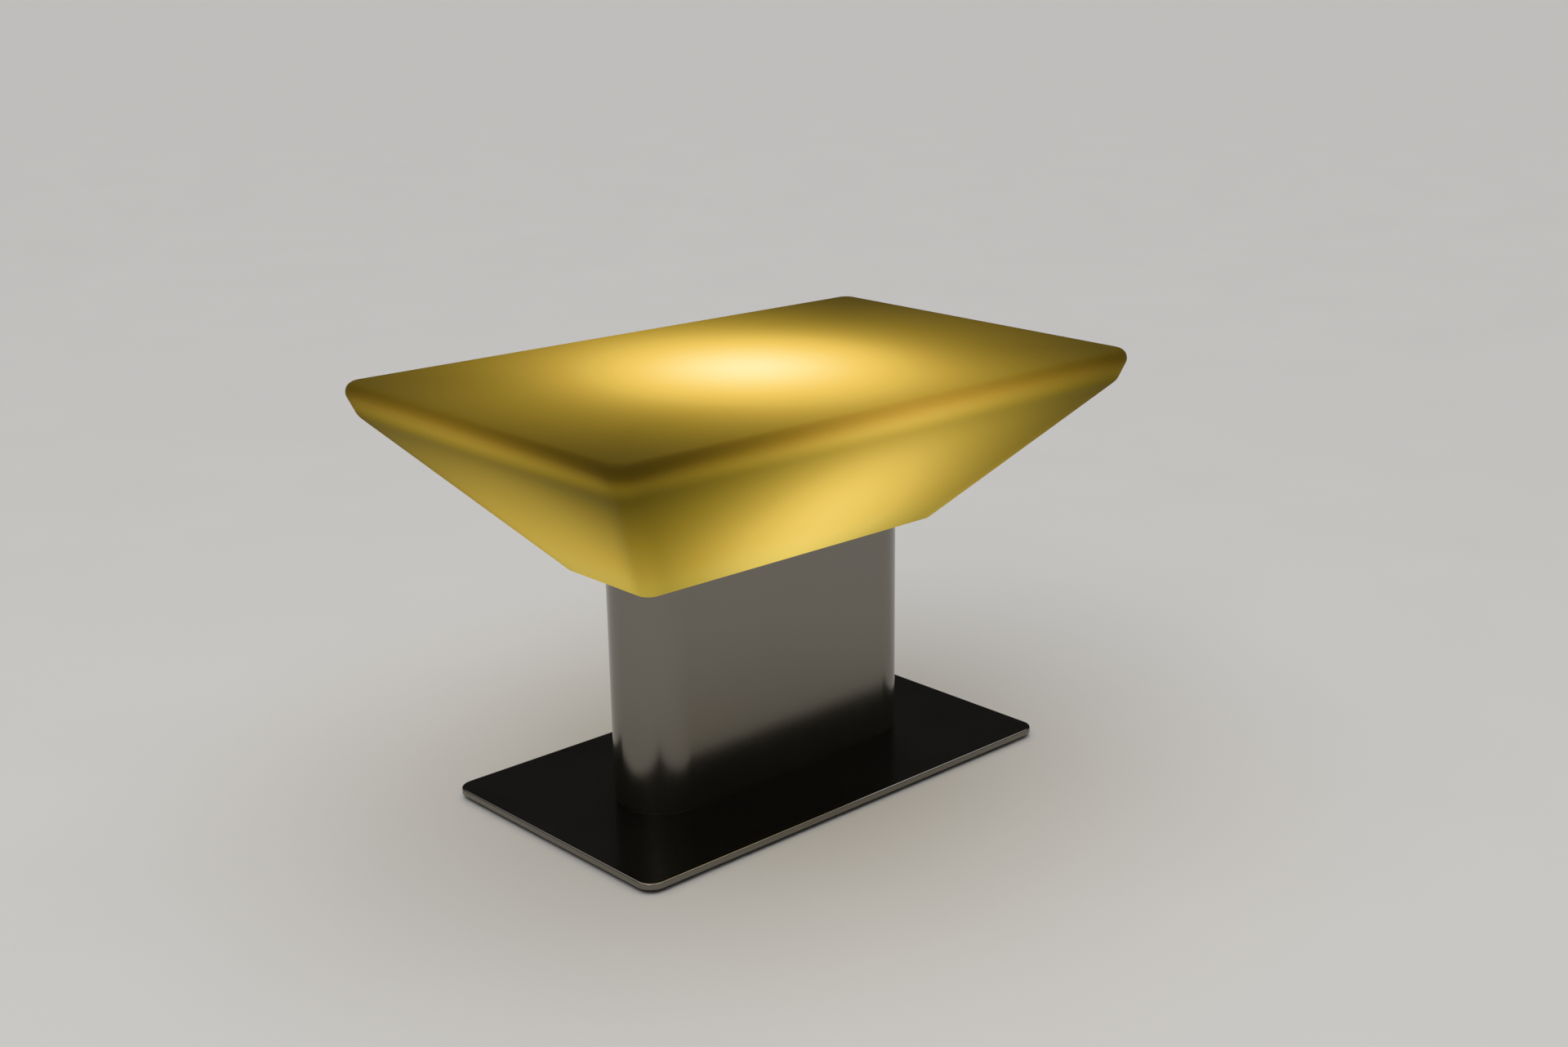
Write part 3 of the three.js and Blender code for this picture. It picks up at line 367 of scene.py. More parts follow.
def from_sides(x, y, z):
    """How far inside the outline a place lies, from the short sides and from the long ones."""
    inside = []
    for across, foot_half, crease_half in ((x, foot_x, crease_x), (y, foot_y, crease_y)):
        half = z.between(foot_z, crease_z, foot_half, crease_half, "LINEAR")
        half = half + z.between(crease_z, edge_z, 0, rim_inset, "LINEAR")
        inside.append((half - across.size()).at_least(0))
    return inside


def light_on_sides(finish, from_x, from_y, on_rim):
    x, y, z = finish.split(finish.place)
    (ray_x, ray_y, ray_z), patch_left = reach(finish, patch_place, patch_softness)
    below_crease = (crease_z - crease_gap - z).at_least(0)
    low_down = z.between(crease_z - 90 * mm, crease_z - 25 * mm, 1, 0)
    short_middle = 1 - low_down * (y - 10 * mm).bell(middle_width) * short_middle_loss
    along = (x + 25 * mm).bell(middle_width)
    long_middle = 1 + low_down * (along * long_middle_gain - long_side_loss)
    light = 0
    shares = 0
    for across, ray, distance, face, shade, fade, middle in (
        (x, ray_x, from_x, side_x, short_shade, short_fade, short_middle),
        (y, ray_y, from_y, side_y, long_shade, long_fade, long_middle),
    ):
        outwards = on_rim * (rim_face.x - face.x) + face.x
        upwards = on_rim * (rim_face.y - face.y) + face.y
        struck = (across.maths("SIGN") * ray * outwards + ray_z * upwards).at_least(grazing)
        under_crease = (1 - on_rim) * below_crease.fading(fade) * shade
        share = distance.bell(spread) + least_share
        light = struck * middle * (1 - under_crease) * share + light
        shares = share + shares
    foot_shade = z.between(foot_z, foot_z + 30 * mm, 1 - foot_loss, 1, "LINEAR")
    return light / shares * patch_left * patch_power * foot_shade * (1 - on_rim * rim_loss)


print("light spreads in the plastic over", round(2 * spread / mm), "mm round each corner")

# %% The light in all the walls
front_reach = 300 * mm
corner_reach = 60 * mm
wide_corner_reach = 174 * mm
returned_reach = 90 * mm
returned_gain = 0.21
right_end_loss = 0.08
edge_loss = 0.06
corner_loss = 0.17
front_edge_loss = 0.37
front_flat_loss = 0.10
wide_corner_loss = 0.06


def light_on_top(finish, from_edge):
    """The lamp's own light, and a little that comes back from the edge."""
    x, y, z = finish.split(finish.place)
    (_, _, height), lamp_left = reach(finish, lamp_place)
    returned = 1 + from_edge.bell(returned_reach) * returned_gain
    right_end = x.between(100 * mm, 300 * mm, 1, 1 - right_end_loss)
    return height.at_least(grazing) * lamp_left * lamp_power * returned * right_end


def light_in_walls(finish):
    """How bright the wall is, where 1 is nearly white, and masks for the edge, the sides and the foot."""
    x, y, z = finish.split(finish.place)
    from_x, from_y = from_sides(x, y, z)
    on_rim = z.between(crease_z - 6 * mm, crease_z + 18 * mm)
    on_top = z.between(edge_z - 8 * mm, shade_high.z)
    at_foot = z.between(foot_z, foot_z + 60 * mm, 1, 0)
    sides = light_on_sides(finish, from_x, from_y, on_rim)
    top = light_on_top(finish, from_x.maths("MINIMUM", from_y))

    round_x = (top_corner - from_x).at_least(0)
    round_y = (top_corner - from_y).at_least(0)
    from_outline = top_corner - (round_x ** 2 + round_y ** 2) ** 0.5
    from_corner = from_x + from_y
    from_front = ((x - shade_low.x) ** 2 + (y - shade_low.y) ** 2) ** 0.5
    near_front = from_front.bell(front_reach)
    on_edge = z.between(edge_z - 20 * mm, edge_z + 2.5 * mm) * from_outline.between(1 * mm, 9 * mm, 1, 0)
    # Painted shade: the rounded edge is dimmer, most at the corners and near the front left corner. Every wall is
    # a little dimmer near a corner, and so is the top near the front left corner.
    at_corner = from_corner.bell(corner_reach)
    edge_shade = on_edge * (edge_loss + at_corner * corner_loss + near_front * front_edge_loss)
    corner_shade = from_corner.bell(wide_corner_reach) * (on_top + 1) * wide_corner_loss
    light = sides * (1 - on_top) + top * on_top * (1 - near_front * front_flat_loss)
    return light * (1 - edge_shade) * (1 - corner_shade), on_edge, 1 - on_rim, at_foot


print("the top is dimmer within", round(wide_corner_reach / mm), "mm of its corners")


# %% The glowing plastic
def glowing_plastic():
    finish = Finish("glowing_plastic")
    light, on_edge, on_side, at_foot = light_in_walls(finish)
    cloud = finish.noise(9, detail=3)
    warm = finish.ramp(light * (0.985 + cloud * 0.03) / 3, [
        (0.0, (0.006, 0.004, 0.0)),
        (0.033, (0.068, 0.046, 0.002)),
        (0.083, (0.217, 0.145, 0.011)),
        (0.167, (0.455, 0.297, 0.036)),
        (0.25, (0.670, 0.446, 0.072)),
        (0.333, (0.805, 0.535, 0.098)),
        (0.433, (0.890, 0.602, 0.132)),
        (0.567, (0.945, 0.677, 0.195)),
        (0.733, (0.970, 0.752, 0.275)),
        (1.0, (0.980, 0.845, 0.415)),
    ])
    # Painted light: the glow's colour turns browner on the rounded edge, greener on the sides and yellower near
    # the foot.
    browner = finish.mix(on_edge, warm, (1.0, 0.89, 0.86), blend="MULTIPLY")
    greener = finish.mix(on_side, browner, (1.0, 1.045, 1.10), blend="MULTIPLY")
    yellower = finish.mix(at_foot, greener, (1.0, 1.08, 1.25), blend="MULTIPLY")
    grain = finish.noise(900, detail=2)
    finish.set(
        # The base colour is the dim olive of the glow, painted into the plastic's own colour and kept low, so that
        # the studio light doesn't wash out the painted glow.
        Base_Color=finish.mix(cloud, (0.030, 0.019, 0.003), (0.034, 0.022, 0.004)),
        Roughness=0.42 + grain * 0.12,
        Emission_Color=yellower,
        Emission_Strength=1.0,
        Specular_IOR_Level=0.01,
    )
    ripple = finish.noise(60, detail=2)
    finish.bump(grain * 0.4 + ripple * 0.6, 0.12 * mm)
    print("glowing plastic:", len(finish.tree.nodes), "nodes")


glowing_plastic()

# %% [markdown]
# ## The metals
# Satin stainless steel is polished with a fine belt, which leaves faint scratches along one way. Noise
# that is squeezed across that way and stretched along it gives them. They blur what the metal
# reflects, so they go into the roughness and into a very shallow bump. The column is brushed upright
# and the plate along its length, so they are one recipe with two directions.

# %% The metals
def metal(name, colour, darker, roughness, grain_way, scratch):
    """A metal. grain_way stretches the scratches, and with None the metal is plain and mottled."""
    finish = Finish(name)
    scratches = finish.noise(1100 if grain_way else 260, detail=3, stretch=grain_way or (1, 1, 1))
    blotches = finish.noise(7, detail=4)
    finish.set(
        Base_Color=finish.mix(scratches * 0.6 + blotches * 0.4, darker, colour),
        Metallic=1.0,
        Roughness=roughness + (scratches - 0.5) * 0.08 + (blotches - 0.5) * 0.05,
    )
    finish.bump(scratches, scratch)


along_z = (1, 1, 0.012)
along_x = (0.012, 1, 1)
steel_light = (0.240, 0.225, 0.195)
steel_dark = (0.205, 0.190, 0.165)
metal("brushed_steel", steel_light, steel_dark, 0.20, along_z, 0.004 * mm)
metal("plate_steel", steel_light, steel_dark, 0.15, along_x, 0.004 * mm)
metal("plain_steel", (0.42, 0.42, 0.41), (0.30, 0.30, 0.30), 0.42, None, 0.05 * mm)
metal("zinc_steel", (0.66, 0.67, 0.65), (0.52, 0.53, 0.52), 0.34, None, 0.03 * mm)
metal("aluminium", (0.74, 0.75, 0.76), (0.62, 0.63, 0.64), 0.38, along_x, 0.004 * mm)
print("metals:", len(finishes) - 1)

# %% [markdown]
# ## Rubber, plastics and paint
# Moulded plastic takes its surface from the mould, which is spark-eroded to a fine even grain.
# Rubber is duller and has a coarser skin, and paint has a soft orange peel. One recipe makes them
# all from a colour, a roughness, and how coarse and how deep the grain is.

# %% Rubber, plastics and paint
def moulded(name, colour, roughness, grain=1500, depth=0.02 * mm, variation=0.12):
    finish = Finish(name)
    skin = finish.noise(grain, detail=2)
    cloud = finish.noise(40, detail=3)
    darker = tuple(channel * (1 - variation) for channel in colour)
    finish.set(
        Base_Color=finish.mix(cloud, darker, colour),
        Roughness=roughness + (skin - 0.5) * 0.16,
    )
    finish.bump(skin, depth)
    return finish


moulded("black_rubber", (0.018, 0.018, 0.019), 0.78, 900, 0.06 * mm, 0.3)
moulded("black_plastic", (0.022, 0.022, 0.024), 0.42, 2200, 0.03 * mm)
moulded("grey_plastic", (0.20, 0.205, 0.21), 0.46)
moulded("grey_paint", (0.40, 0.41, 0.39), 0.45, 500, 0.03 * mm)
moulded("white_board", (0.80, 0.80, 0.76), 0.40)
moulded("opal_plastic", (0.86, 0.84, 0.78), 0.45)
moulded("battery_wrap", (0.022, 0.068, 0.155), 0.30, 300, 0.05 * mm)
moulded("mark_paint", (0.72, 0.72, 0.70), 0.5)


def lens(name, colour, light, strength):
    """A small clear lens with a faint light behind it."""
    finish = moulded(name, colour, 0.14, 700, 0.01 * mm)
    finish.set(Emission_Color=finish.mix(finish.noise(600), light, colour), Coat_Weight=0.6)
    finish.shader.inputs["Emission Strength"].default_value = strength


lens("yellow_lens", (0.9, 0.62, 0.10), (1.0, 0.75, 0.2), 1.0)
lens("green_lens", (0.06, 0.38, 0.09), (0.10, 0.75, 0.16), 0.5)
print("finishes so far:", len(finishes))

# %% [markdown]
# ## The hidden pieces
# The lamp, the battery, the leads and the fixings are right as the CAD model has them, and nobody
# sees them with the table whole. They keep their shapes, and each takes the finish of its slot.

# %% The hidden pieces
for subpart in frame["record"]["subparts"]:
    mesh = nodes[subpart["node"]].data
    mesh.materials.clear()
    mesh.materials.append(finishes[subpart["material_slot"]].material)

# %% [markdown]
# ## Tools for shaping
# Almost every piece here is a stack of level loops: rounded rectangles, or circles, which are
# rounded rectangles with nothing straight left. A vertex bevel rounds the four corners of a loop, and
# neighbouring loops are bridged. They have as many points as each other, so the faces between them are
# even, and a chain of loops may turn back inside itself to make a hollow.

# %% Loops
def loop_of(bm, half_x, half_y, corner, z, steps, centre=(0, 0)):
    """A level rounded rectangle, as edges. A corner equal to both half sizes makes a circle."""
    before = set(bm.edges)
    signs = ((-1, -1), (1, -1), (1, 1), (-1, 1))
    points = [bm.verts.new((centre[0] + sx * half_x, centre[1] + sy * half_y, z)) for sx, sy in signs]
    bm.faces.new(points)
    tiny = 0.0005 * mm
    radius = min(corner, half_x - tiny, half_y - tiny)
    bmesh.ops.bevel(
        bm, geom=points, offset=radius, segments=steps, profile=0.5, affect="VERTICES", material=-1,
    )
    edges = [edge for edge in bm.edges if edge not in before]
    faces = {face for edge in edges for face in edge.link_faces}
    bmesh.ops.delete(bm, geom=list(faces), context="FACES_ONLY")
    return edges


def bridge(bm, loops, closed=False):
    """Faces between each loop and the next, and from the last back to the first if closed."""
    pairs = list(zip(loops, loops[1:]))
    if closed:
        pairs.append((loops[-1], loops[0]))
    for first, second in pairs:
        bmesh.ops.bridge_loops(bm, edges=first + second)


def cap(bm, *loops):
    """Closes a loop with a flat face, or fills between an outer loop and the holes in it."""
    if len(loops) == 1:
        bmesh.ops.edgeloop_fill(bm, edges=loops[0])
    else:
        edges = [edge for loop in loops for edge in loop]
        bmesh.ops.triangle_fill(bm, use_beauty=True, edges=edges)


def chain(bm, levels, steps, centre=(0, 0), closed=False):
    """The loops of some levels, bridged one after another."""
    loops = [loop_of(bm, *level, steps, centre) for level in levels]
    bridge(bm, loops, closed)
    return loops


def cap_ends(bm, rings, holes=()):
    """Closes both ends of a chain, around the chains of the holes that go through it."""
    for end in (0, -1):
        cap(bm, rings[end], *[hole[end] for hole in holes])


def stack(bm, levels, steps, centre=(0, 0)):
    """A closed solid from a chain of levels."""
    cap_ends(bm, chain(bm, levels, steps, centre))


trial = bmesh.new()
print("a circle with 4 steps a corner has", len(loop_of(trial, 1, 1, 1, 0, 4)), "edges")
trial.free()

# %% Turned shapes and finished pieces
def quarter_turn(steps):
    """The sine and the cosine at even steps from 0 to 90 degrees."""
    angles = [math.pi / 2 * step / steps for step in range(steps + 1)]
    return [(math.sin(angle), math.cos(angle)) for angle in angles]


def rounded_edge(radius, top, soft, steps=4):
    """The profile of a rounded upper edge, from its side up to its flat."""
    turns = quarter_turn(steps)
    return [(radius - soft * (1 - cosine), top - soft * (1 - sine)) for sine, cosine in turns]


def turn(bm, profile, steps, centre=(0, 0, 0)):
    """Spins a profile of (radius, height) points about the upright axis through centre."""
    centre = Vector(centre)
    points = [bm.verts.new(centre + Vector((radius, 0, height))) for radius, height in profile]
    edges = [bm.edges.new(pair) for pair in zip(points, points[1:])]
    bmesh.ops.spin(
        bm, geom=points + edges, cent=centre, axis=(0, 0, 1), angle=2 * math.pi,
        steps=steps, use_merge=True,
    )
    bmesh.ops.remove_doubles(bm, verts=bm.verts, dist=0.0005 * mm)


def rotate(bm, angle, axis):
    bmesh.ops.rotate(bm, verts=bm.verts, matrix=Matrix.Rotation(angle, 3, axis))


def shift(bm, vector):
    bmesh.ops.translate(bm, verts=bm.verts, vec=vector)


def face_back(bm, x, y, z):
    """Tips a piece that was drawn lying down so that its top faces the table's back, at a place."""
    rotate(bm, math.radians(-90), "X")
    shift(bm, (x, y, z))


def finished(bm, name, body, slot, replaces=(), finish=None, crease=40):
    """Makes the shape an object that rides on its body. Weighted normals keep its flat faces flat."""
    bmesh.ops.recalc_face_normals(bm, faces=bm.faces)
    mesh = bpy.data.meshes.new(name)
    bm.to_mesh(mesh)
    bm.free()
    mesh.shade_smooth()
    mesh.set_sharp_from_angle(angle=math.radians(crease))
    mesh.materials.append(finishes[finish or slot].material)
    piece = added(name, mesh)
    weighted = piece.modifiers.new("flat faces stay flat", "WEIGHTED_NORMAL")
    weighted.keep_sharp = True
    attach(piece, body)
    if replaces:
        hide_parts(*replaces)
    print(f"{name}: {len(mesh.polygons)} faces")


# %% [markdown]
# ## The shade
# On the real table this is one hollow moulding. A mould can't fill a sharp corner, so every corner of
# it is soft. Each stage of its height is a loop of its own size, corner and height, and a bend is a run
# of loops along a curve. The chain of loops goes on inside, so the wall has its real thickness.

# %% The shade's levels
wall = 5 * mm
floor_thickness = 6 * mm
foot_corner = 16 * mm
foot_bend = 2 * mm
crease_bend = 4.5 * mm
bend_steps = 6
edge_steps = 9


def level(half_x, half_y, corner, z):
    return Vector((half_x, half_y, corner, z))


def pulled_in(size, inset, z):
    """The level of a size (half x, half y, corner) with its outline moved in by inset."""
    return level(*(measure - inset for measure in size), z)


def bend(start, middle, end):
    """Levels along a curve from start to end that leans towards the middle one."""
    shares = [step / bend_steps for step in range(bend_steps + 1)]
    return [start.lerp(middle, share).lerp(middle.lerp(end, share), share) for share in shares]


def quarter_round(inset, radius, start_angle):
    """Levels up the top's rounded edge, from where the rim meets it to the flat."""
    levels = []
    for step in range(edge_steps + 1):
        angle = start_angle + (math.pi / 2 - start_angle) * step / edge_steps
        pull = inset + radius * (1 - math.cos(angle))
        z = shade_high.z - inset - radius * (1 - math.sin(angle))
        levels.append(pulled_in((shade_high.x, shade_high.y, top_corner), pull, z))
    return levels


foot = level(foot_x, foot_y, foot_corner, foot_z)
crease_corner = top_corner - rim_inset
crease = level(crease_x, crease_y, crease_corner, crease_z)
print("the crease's corners have a radius of", round(crease_corner / mm), "mm")


# %% The shade
def outside_levels():
    lean = math.atan2(rim_inset, rim_drop - edge_radius)
    edge = quarter_round(0, edge_radius, -lean)
    lip = foot - level(foot_bend, foot_bend, foot_bend, 0)
    above_foot = foot.lerp(crease, foot_bend / rise)
    below_crease = crease.lerp(foot, crease_bend / rise)
    above_crease = crease.lerp(edge[0], crease_bend / (edge[0][3] - crease[3]))
    return bend(lip, foot, above_foot) + bend(below_crease, crease, above_crease) + edge


def inside_levels():
    """The inner face, one wall inside. A leaning wall is thicker where it is measured level."""
    slope_x = (crease[0] - foot[0]) / rise
    slope_y = (crease[1] - foot[1]) / rise
    across_x = wall * math.hypot(1, slope_x)
    across_y = wall * math.hypot(1, slope_y)
    floor_level = level(
        foot[0] + slope_x * floor_thickness - across_x,
        foot[1] + slope_y * floor_thickness - across_y,
        foot_corner - wall, shade_low.z + floor_thickness,
    )
    crease_level = crease - level((across_x + wall) / 2, (across_y + wall) / 2, wall, 0)
    return [floor_level, crease_level] + quarter_round(wall, edge_radius - wall, 0)


gasket_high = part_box("carrier_gasket")[1]
opening_land_long = 32 * mm
opening_land_short = 14 * mm
opening_corner = 12 * mm
opening_x = gasket_high.x - opening_land_long
opening_y = gasket_high.y - opening_land_short
opening = level(opening_x, opening_y, opening_corner, shade_low.z)
opening_top = opening + level(0, 0, 0, floor_thickness)

bm = bmesh.new()
outside = chain(bm, [opening] + outside_levels(), 10)
inside = chain(bm, [opening_top] + inside_levels(), 10)
bridge(bm, [outside[0], inside[0]])
cap(bm, outside[-1])
cap(bm, inside[-1])
finished(bm, "shade", "stand", "glowing_plastic", ["shade_body"], crease=60)

# %% [markdown]
# ## The column
# The column is a welded steel tube with flat sides and half-round ends. Its loops go up the outside
# and down the inside. Both cut ends have a small chamfer, which catches a thin line of light. At the
# back, planes cut the window that the service plate covers, and the outer and inner cuts are bridged.

# %% The column
column_wall = 1.5 * mm
cut_chamfer = 0.4 * mm
end_steps = 20
plate_low, plate_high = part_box("service_plate")
window_side = 13 * mm
window_sill = 5 * mm


def tube_levels():
    size = (column_high.x, column_high.y, column_high.y)
    low, high = column_low.z, column_high.z
    return [pulled_in(size, inset, z) for inset, z in (
        (cut_chamfer, low), (0, low + cut_chamfer), (0, high - cut_chamfer),
        (cut_chamfer, high), (column_wall, high), (column_wall, low),
    )]


def back_flats(bm):
    """The faces of the flat back, outside and inside the tube, each with its middle."""
    flats = [(face, face.calc_center_median()) for face in bm.faces if abs(face.normal.y) > 0.999]
    return [(face, middle) for face, middle in flats if middle.y > 0]


def cut_window(bm):
    """Cuts a window through the flat of the back, on both sides and below and above."""
    left = plate_low.x + window_side
    right_side = plate_high.x - window_side
    low = plate_low.z + window_sill
    high = plate_high.z - window_sill
    cuts = [((x, 0, 0), (1, 0, 0)) for x in (left, right_side)]
    cuts += [((0, 0, z), (0, 0, 1)) for z in (low, high)]
    for place, way in cuts:
        geometry = {part for face, _ in back_flats(bm) for part in (face, *face.edges, *face.verts)}
        bmesh.ops.bisect_plane(bm, geom=list(geometry), dist=1e-6, plane_co=place, plane_no=way)
    inside_window = [
        face for face, middle in back_flats(bm)
        if left < middle.x < right_side and low < middle.z < high
    ]
    bmesh.ops.delete(bm, geom=inside_window, context="FACES_ONLY")
    rim = [edge for edge in bm.edges if edge.is_boundary]
    bmesh.ops.bridge_loops(bm, edges=rim)
    print("window cut through", len(inside_window), "faces")


bm = bmesh.new()
chain(bm, tube_levels(), end_steps, closed=True)
bmesh.ops.recalc_face_normals(bm, faces=bm.faces)
cut_window(bm)
finished(bm, "column", "stand", "brushed_steel", ["column_shell"])

# %% [markdown]
# ## The base plate
# The plate is cut from thick sheet. Its top arris is rounded by hand with a belt and its underside
# only has the burr taken off. Four countersinks below take the bolts that hold the column.

# %% The base plate
base_low, base_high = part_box("base_plate")
base_middle = middle_of("base_plate").xy
base_half = half_of("base_plate")
base_corner = 22 * mm
base_arris = 2 * mm
base_under = 0.6 * mm
bolt_gap = 0.6 * mm
bolt_bore = 4.3 * mm
corner_names = ("front_left", "front_right", "back_right", "back_left")


def round_level(radius, z):
    return level(radius, radius, radius, z)


def base_levels():
    size = (base_half.x, base_half.y, base_corner)
    side = [(-base_under, base_low.z), (0, base_low.z + base_under)]
    side += rounded_edge(0, base_high.z, base_arris, 6)
    return [pulled_in(size, -outwards, z) for outwards, z in side]


def countersink(bm, node):
    """The hole for one bolt: a cone from the underside, then a straight bore."""
    head = half_of(node).x + bolt_gap
    return chain(bm, [
        round_level(head, base_low.z),
        round_level(bolt_bore, base_low.z + head - bolt_bore),
        round_level(bolt_bore, base_high.z),
    ], 8, middle_of(node).xy)


bm = bmesh.new()
rings = chain(bm, base_levels(), 10, base_middle)
holes = [countersink(bm, f"base_bolt_{name}") for name in corner_names]
cap_ends(bm, rings, holes)
finished(bm, "base", "stand", "brushed_steel", ["base_plate"], finish="plate_steel")

# %% [markdown]
# ## The feet
# Each rubber foot is a turned disc. Its tread has two grooves, which let water out from under it, and
# a well in the middle hides the screw. A profile and a spin make it.

# %% The feet
foot_well = 4.1 * mm
foot_bore = 2.3 * mm
foot_edge = 1.6 * mm
foot_groove = 0.6 * mm
foot_chamfer = 0.4 * mm
foot_web = 1.5 * mm


def foot_profile(radius, height):
    well_edge = (foot_well, foot_chamfer / 2)
    points = [well_edge, (foot_well + foot_chamfer, 0)]
    for share in (0.42, 0.68):
        middle = radius * share
        for step, depth in ((-1, 0), (-0.5, foot_groove), (0.5, foot_groove), (1, 0)):
            points.append((middle + step * foot_groove, depth))
    for sine, cosine in quarter_turn(4):
        points.append((radius - foot_edge * (1 - sine), foot_edge * (1 - cosine)))
    points += [(radius, height - foot_chamfer), (radius - foot_chamfer, height), (foot_bore, height)]
    points += [(foot_bore, height - foot_web), (foot_well, height - foot_web), well_edge]
    return points


for name in corner_names:
    low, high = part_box(f"foot_{name}")
    middle = middle_of(f"foot_{name}")
    bm = bmesh.new()
    turn(bm, foot_profile((high.x - low.x) / 2, high.z - low.z), 40, (middle.x, middle.y, low.z))
    finished(bm, f"foot_pad_{name}", "stand", "black_rubber", [f"foot_{name}"])

# %% [markdown]
# ## The service plate
# A black moulded plate on the back carries the switch, the colour button and the charging socket. It
# is drawn lying down, as an outline with holes in it. Two fills make its face and its back around the
# holes, and the bridges between them are its edge and the holes' walls.

# %% The service plate
panel_middle = middle_of("service_plate")
panel_half = half_of("service_plate")
panel_thickness = plate_high.y - plate_low.y
panel_corner = 5 * mm
panel_bevel = 0.5 * mm
hole_bevel = 0.25 * mm
fit = 0.3 * mm
body_half_x = 8 * mm
body_half_z = 12 * mm
cup_radius = 6.5 * mm
lens_neck = 1.8 * mm
screw_shank = 1.5 * mm
switch_x = joints["rocker_tilt"]["pos_m"][0]
socket_x = joints["cover_swing"]["pos_m"][0]
button_x = middle_of("colour_button").x
indicator_x = middle_of("charging_indicator").x
panel_z = panel_middle.z


def panel_hole(bm, half_x, half_z, corner, x):
    """A hole through the plate for a piece of that size, bevelled at its face."""
    low = level(half_x + fit, half_z + fit, corner, 0)
    return chain(bm, [
        low,
        low + level(0, 0, 0, panel_thickness - hole_bevel),
        low + level(hole_bevel, hole_bevel, hole_bevel, panel_thickness),
    ], 8, (x - panel_middle.x, 0))


def panel_level(inset, corner, depth):
    return level(panel_half.x - inset, panel_half.z - inset, corner, panel_thickness - depth)


bm = bmesh.new()
rings = chain(bm, [
    panel_level(0, panel_corner, panel_thickness),
    panel_level(0, panel_corner, panel_bevel),
    panel_level(panel_bevel * 0.3, panel_corner, panel_bevel * 0.3),
    panel_level(panel_bevel, panel_corner - panel_bevel, 0),
], 8)
holes = [
    panel_hole(bm, body_half_x, body_half_z, 1 * mm, switch_x),
    panel_hole(bm, cup_radius, cup_radius, 7 * mm, socket_x),
    panel_hole(bm, cup_radius, cup_radius, 7 * mm, button_x),
    panel_hole(bm, lens_neck, lens_neck, 3 * mm, indicator_x),
]
for side in ("left", "right"):
    screw_x = middle_of(f"service_screw_{side}").x
    holes.append(panel_hole(bm, screw_shank, screw_shank, 2 * mm, screw_x))
cap_ends(bm, rings, holes)
face_back(bm, panel_middle.x, plate_low.y, panel_z)
finished(bm, "service_panel", "stand", "black_plastic", ["service_plate"])

# %% [markdown]
# ## The screws of the service plate
# A small pan-head screw is a stack of circles, and a hexagonal key socket is sunk in its head. The
# head's flat is filled around the hexagon, and the hexagon's loop goes down to its floor.

# %% The screws of the service plate
screw_head_height = 1.8 * mm
screw_key = 1.35 * mm
screw_dome = 0.55


def key_screw(node, name):
    middle = middle_of(node)
    half = half_of(node)
    head = half.x
    length = half.y * 2 - screw_head_height
    dome_start = 1 - screw_dome
    bm = bmesh.new()
    levels = [round_level(screw_shank, -length), round_level(screw_shank, 0), round_level(head, 0)]
    for sine, cosine in quarter_turn(4):
        across = head - head * 0.30 * (1 - cosine)
        z = screw_head_height * (dome_start + screw_dome * sine)
        levels.append(level(across, across, head, z))
    rings = chain(bm, levels, 6)
    cap(bm, rings[0])
    hexagons = []
    for z in (screw_head_height, screw_head_height * dome_start):
        place = Matrix.Translation((0, 0, z))
        circle = bmesh.ops.create_circle(bm, segments=6, radius=screw_key, matrix=place)
        hexagons.append(list({edge for vert in circle["verts"] for edge in vert.link_edges}))
    bridge(bm, hexagons)
    cap(bm, rings[-1], hexagons[0])
    cap(bm, hexagons[1])
    face_back(bm, middle.x, middle.y + half.y - screw_head_height, middle.z)
    finished(bm, name, "stand", "zinc_steel", [node])


for side in ("left", "right"):
    key_screw(f"service_screw_{side}", f"panel_screw_{side}")

# %% [markdown]
# ## The switch
# The housing is one chain of loops: up the well from its floor, over the lip, down its outside and
# back along the body behind the plate. The rocker is a side view made solid: two shallow wings that
# meet in a dip, and a heel. It turns on the axis of its joint, and rests with its top in.

# %% The switch housing
housing_low, housing_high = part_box("switch_housing")
lip_front = housing_high.y
lip_thickness = 2 * mm
lip_half = half_of("switch_housing")
body_depth = lip_front - housing_low.y
well_depth = 11 * mm
rocker_low, rocker_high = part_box("rocker")
well_half_x = 6.3 * mm
well_half_z = max(rocker_high.z - panel_z, panel_z - rocker_low.z) + fit
lip_bevel = 0.6 * mm

bm = bmesh.new()
stack(bm, [
    level(well_half_x, well_half_z, 0.4 * mm, -well_depth),
    level(well_half_x, well_half_z, 0.4 * mm, -0.3 * mm),
    level(well_half_x + 0.3 * mm, well_half_z + 0.3 * mm, 0.6 * mm, 0),
    level(lip_half.x - lip_bevel, lip_half.z - lip_bevel, 2 * mm, 0),
    level(lip_half.x - lip_bevel * 0.3, lip_half.z - lip_bevel * 0.3, 2.3 * mm, -lip_bevel * 0.3),
    level(lip_half.x, lip_half.z, 2.5 * mm, -lip_bevel),
    level(lip_half.x, lip_half.z, 2.5 * mm, -lip_thickness),
    level(body_half_x, body_half_z, 1 * mm, -lip_thickness),
    level(body_half_x, body_half_z, 1 * mm, -body_depth),
], 6)
face_back(bm, switch_x, lip_front, panel_z)
finished(bm, "switch_frame", "stand", "black_plastic", ["switch_housing"])

# %% The rocker
pivot = Vector(joints["rocker_tilt"]["pos_m"])
rocker_tilt = math.radians(9)
rocker_half = 9.5 * mm
rocker_half_width = 6 * mm
rocker_face = 5.2 * mm
rocker_dip = 1.4 * mm
rocker_skirt = 2.0 * mm
rocker_heel = 3 * mm
rocker_soft = 0.35 * mm
rocker_sharp = math.radians(50)


def wing_face(share):
    """How far out the rocker's face is, from -1 at its lower end to 1 at its upper end."""
    return rocker_face - rocker_dip * (1 - share * share)


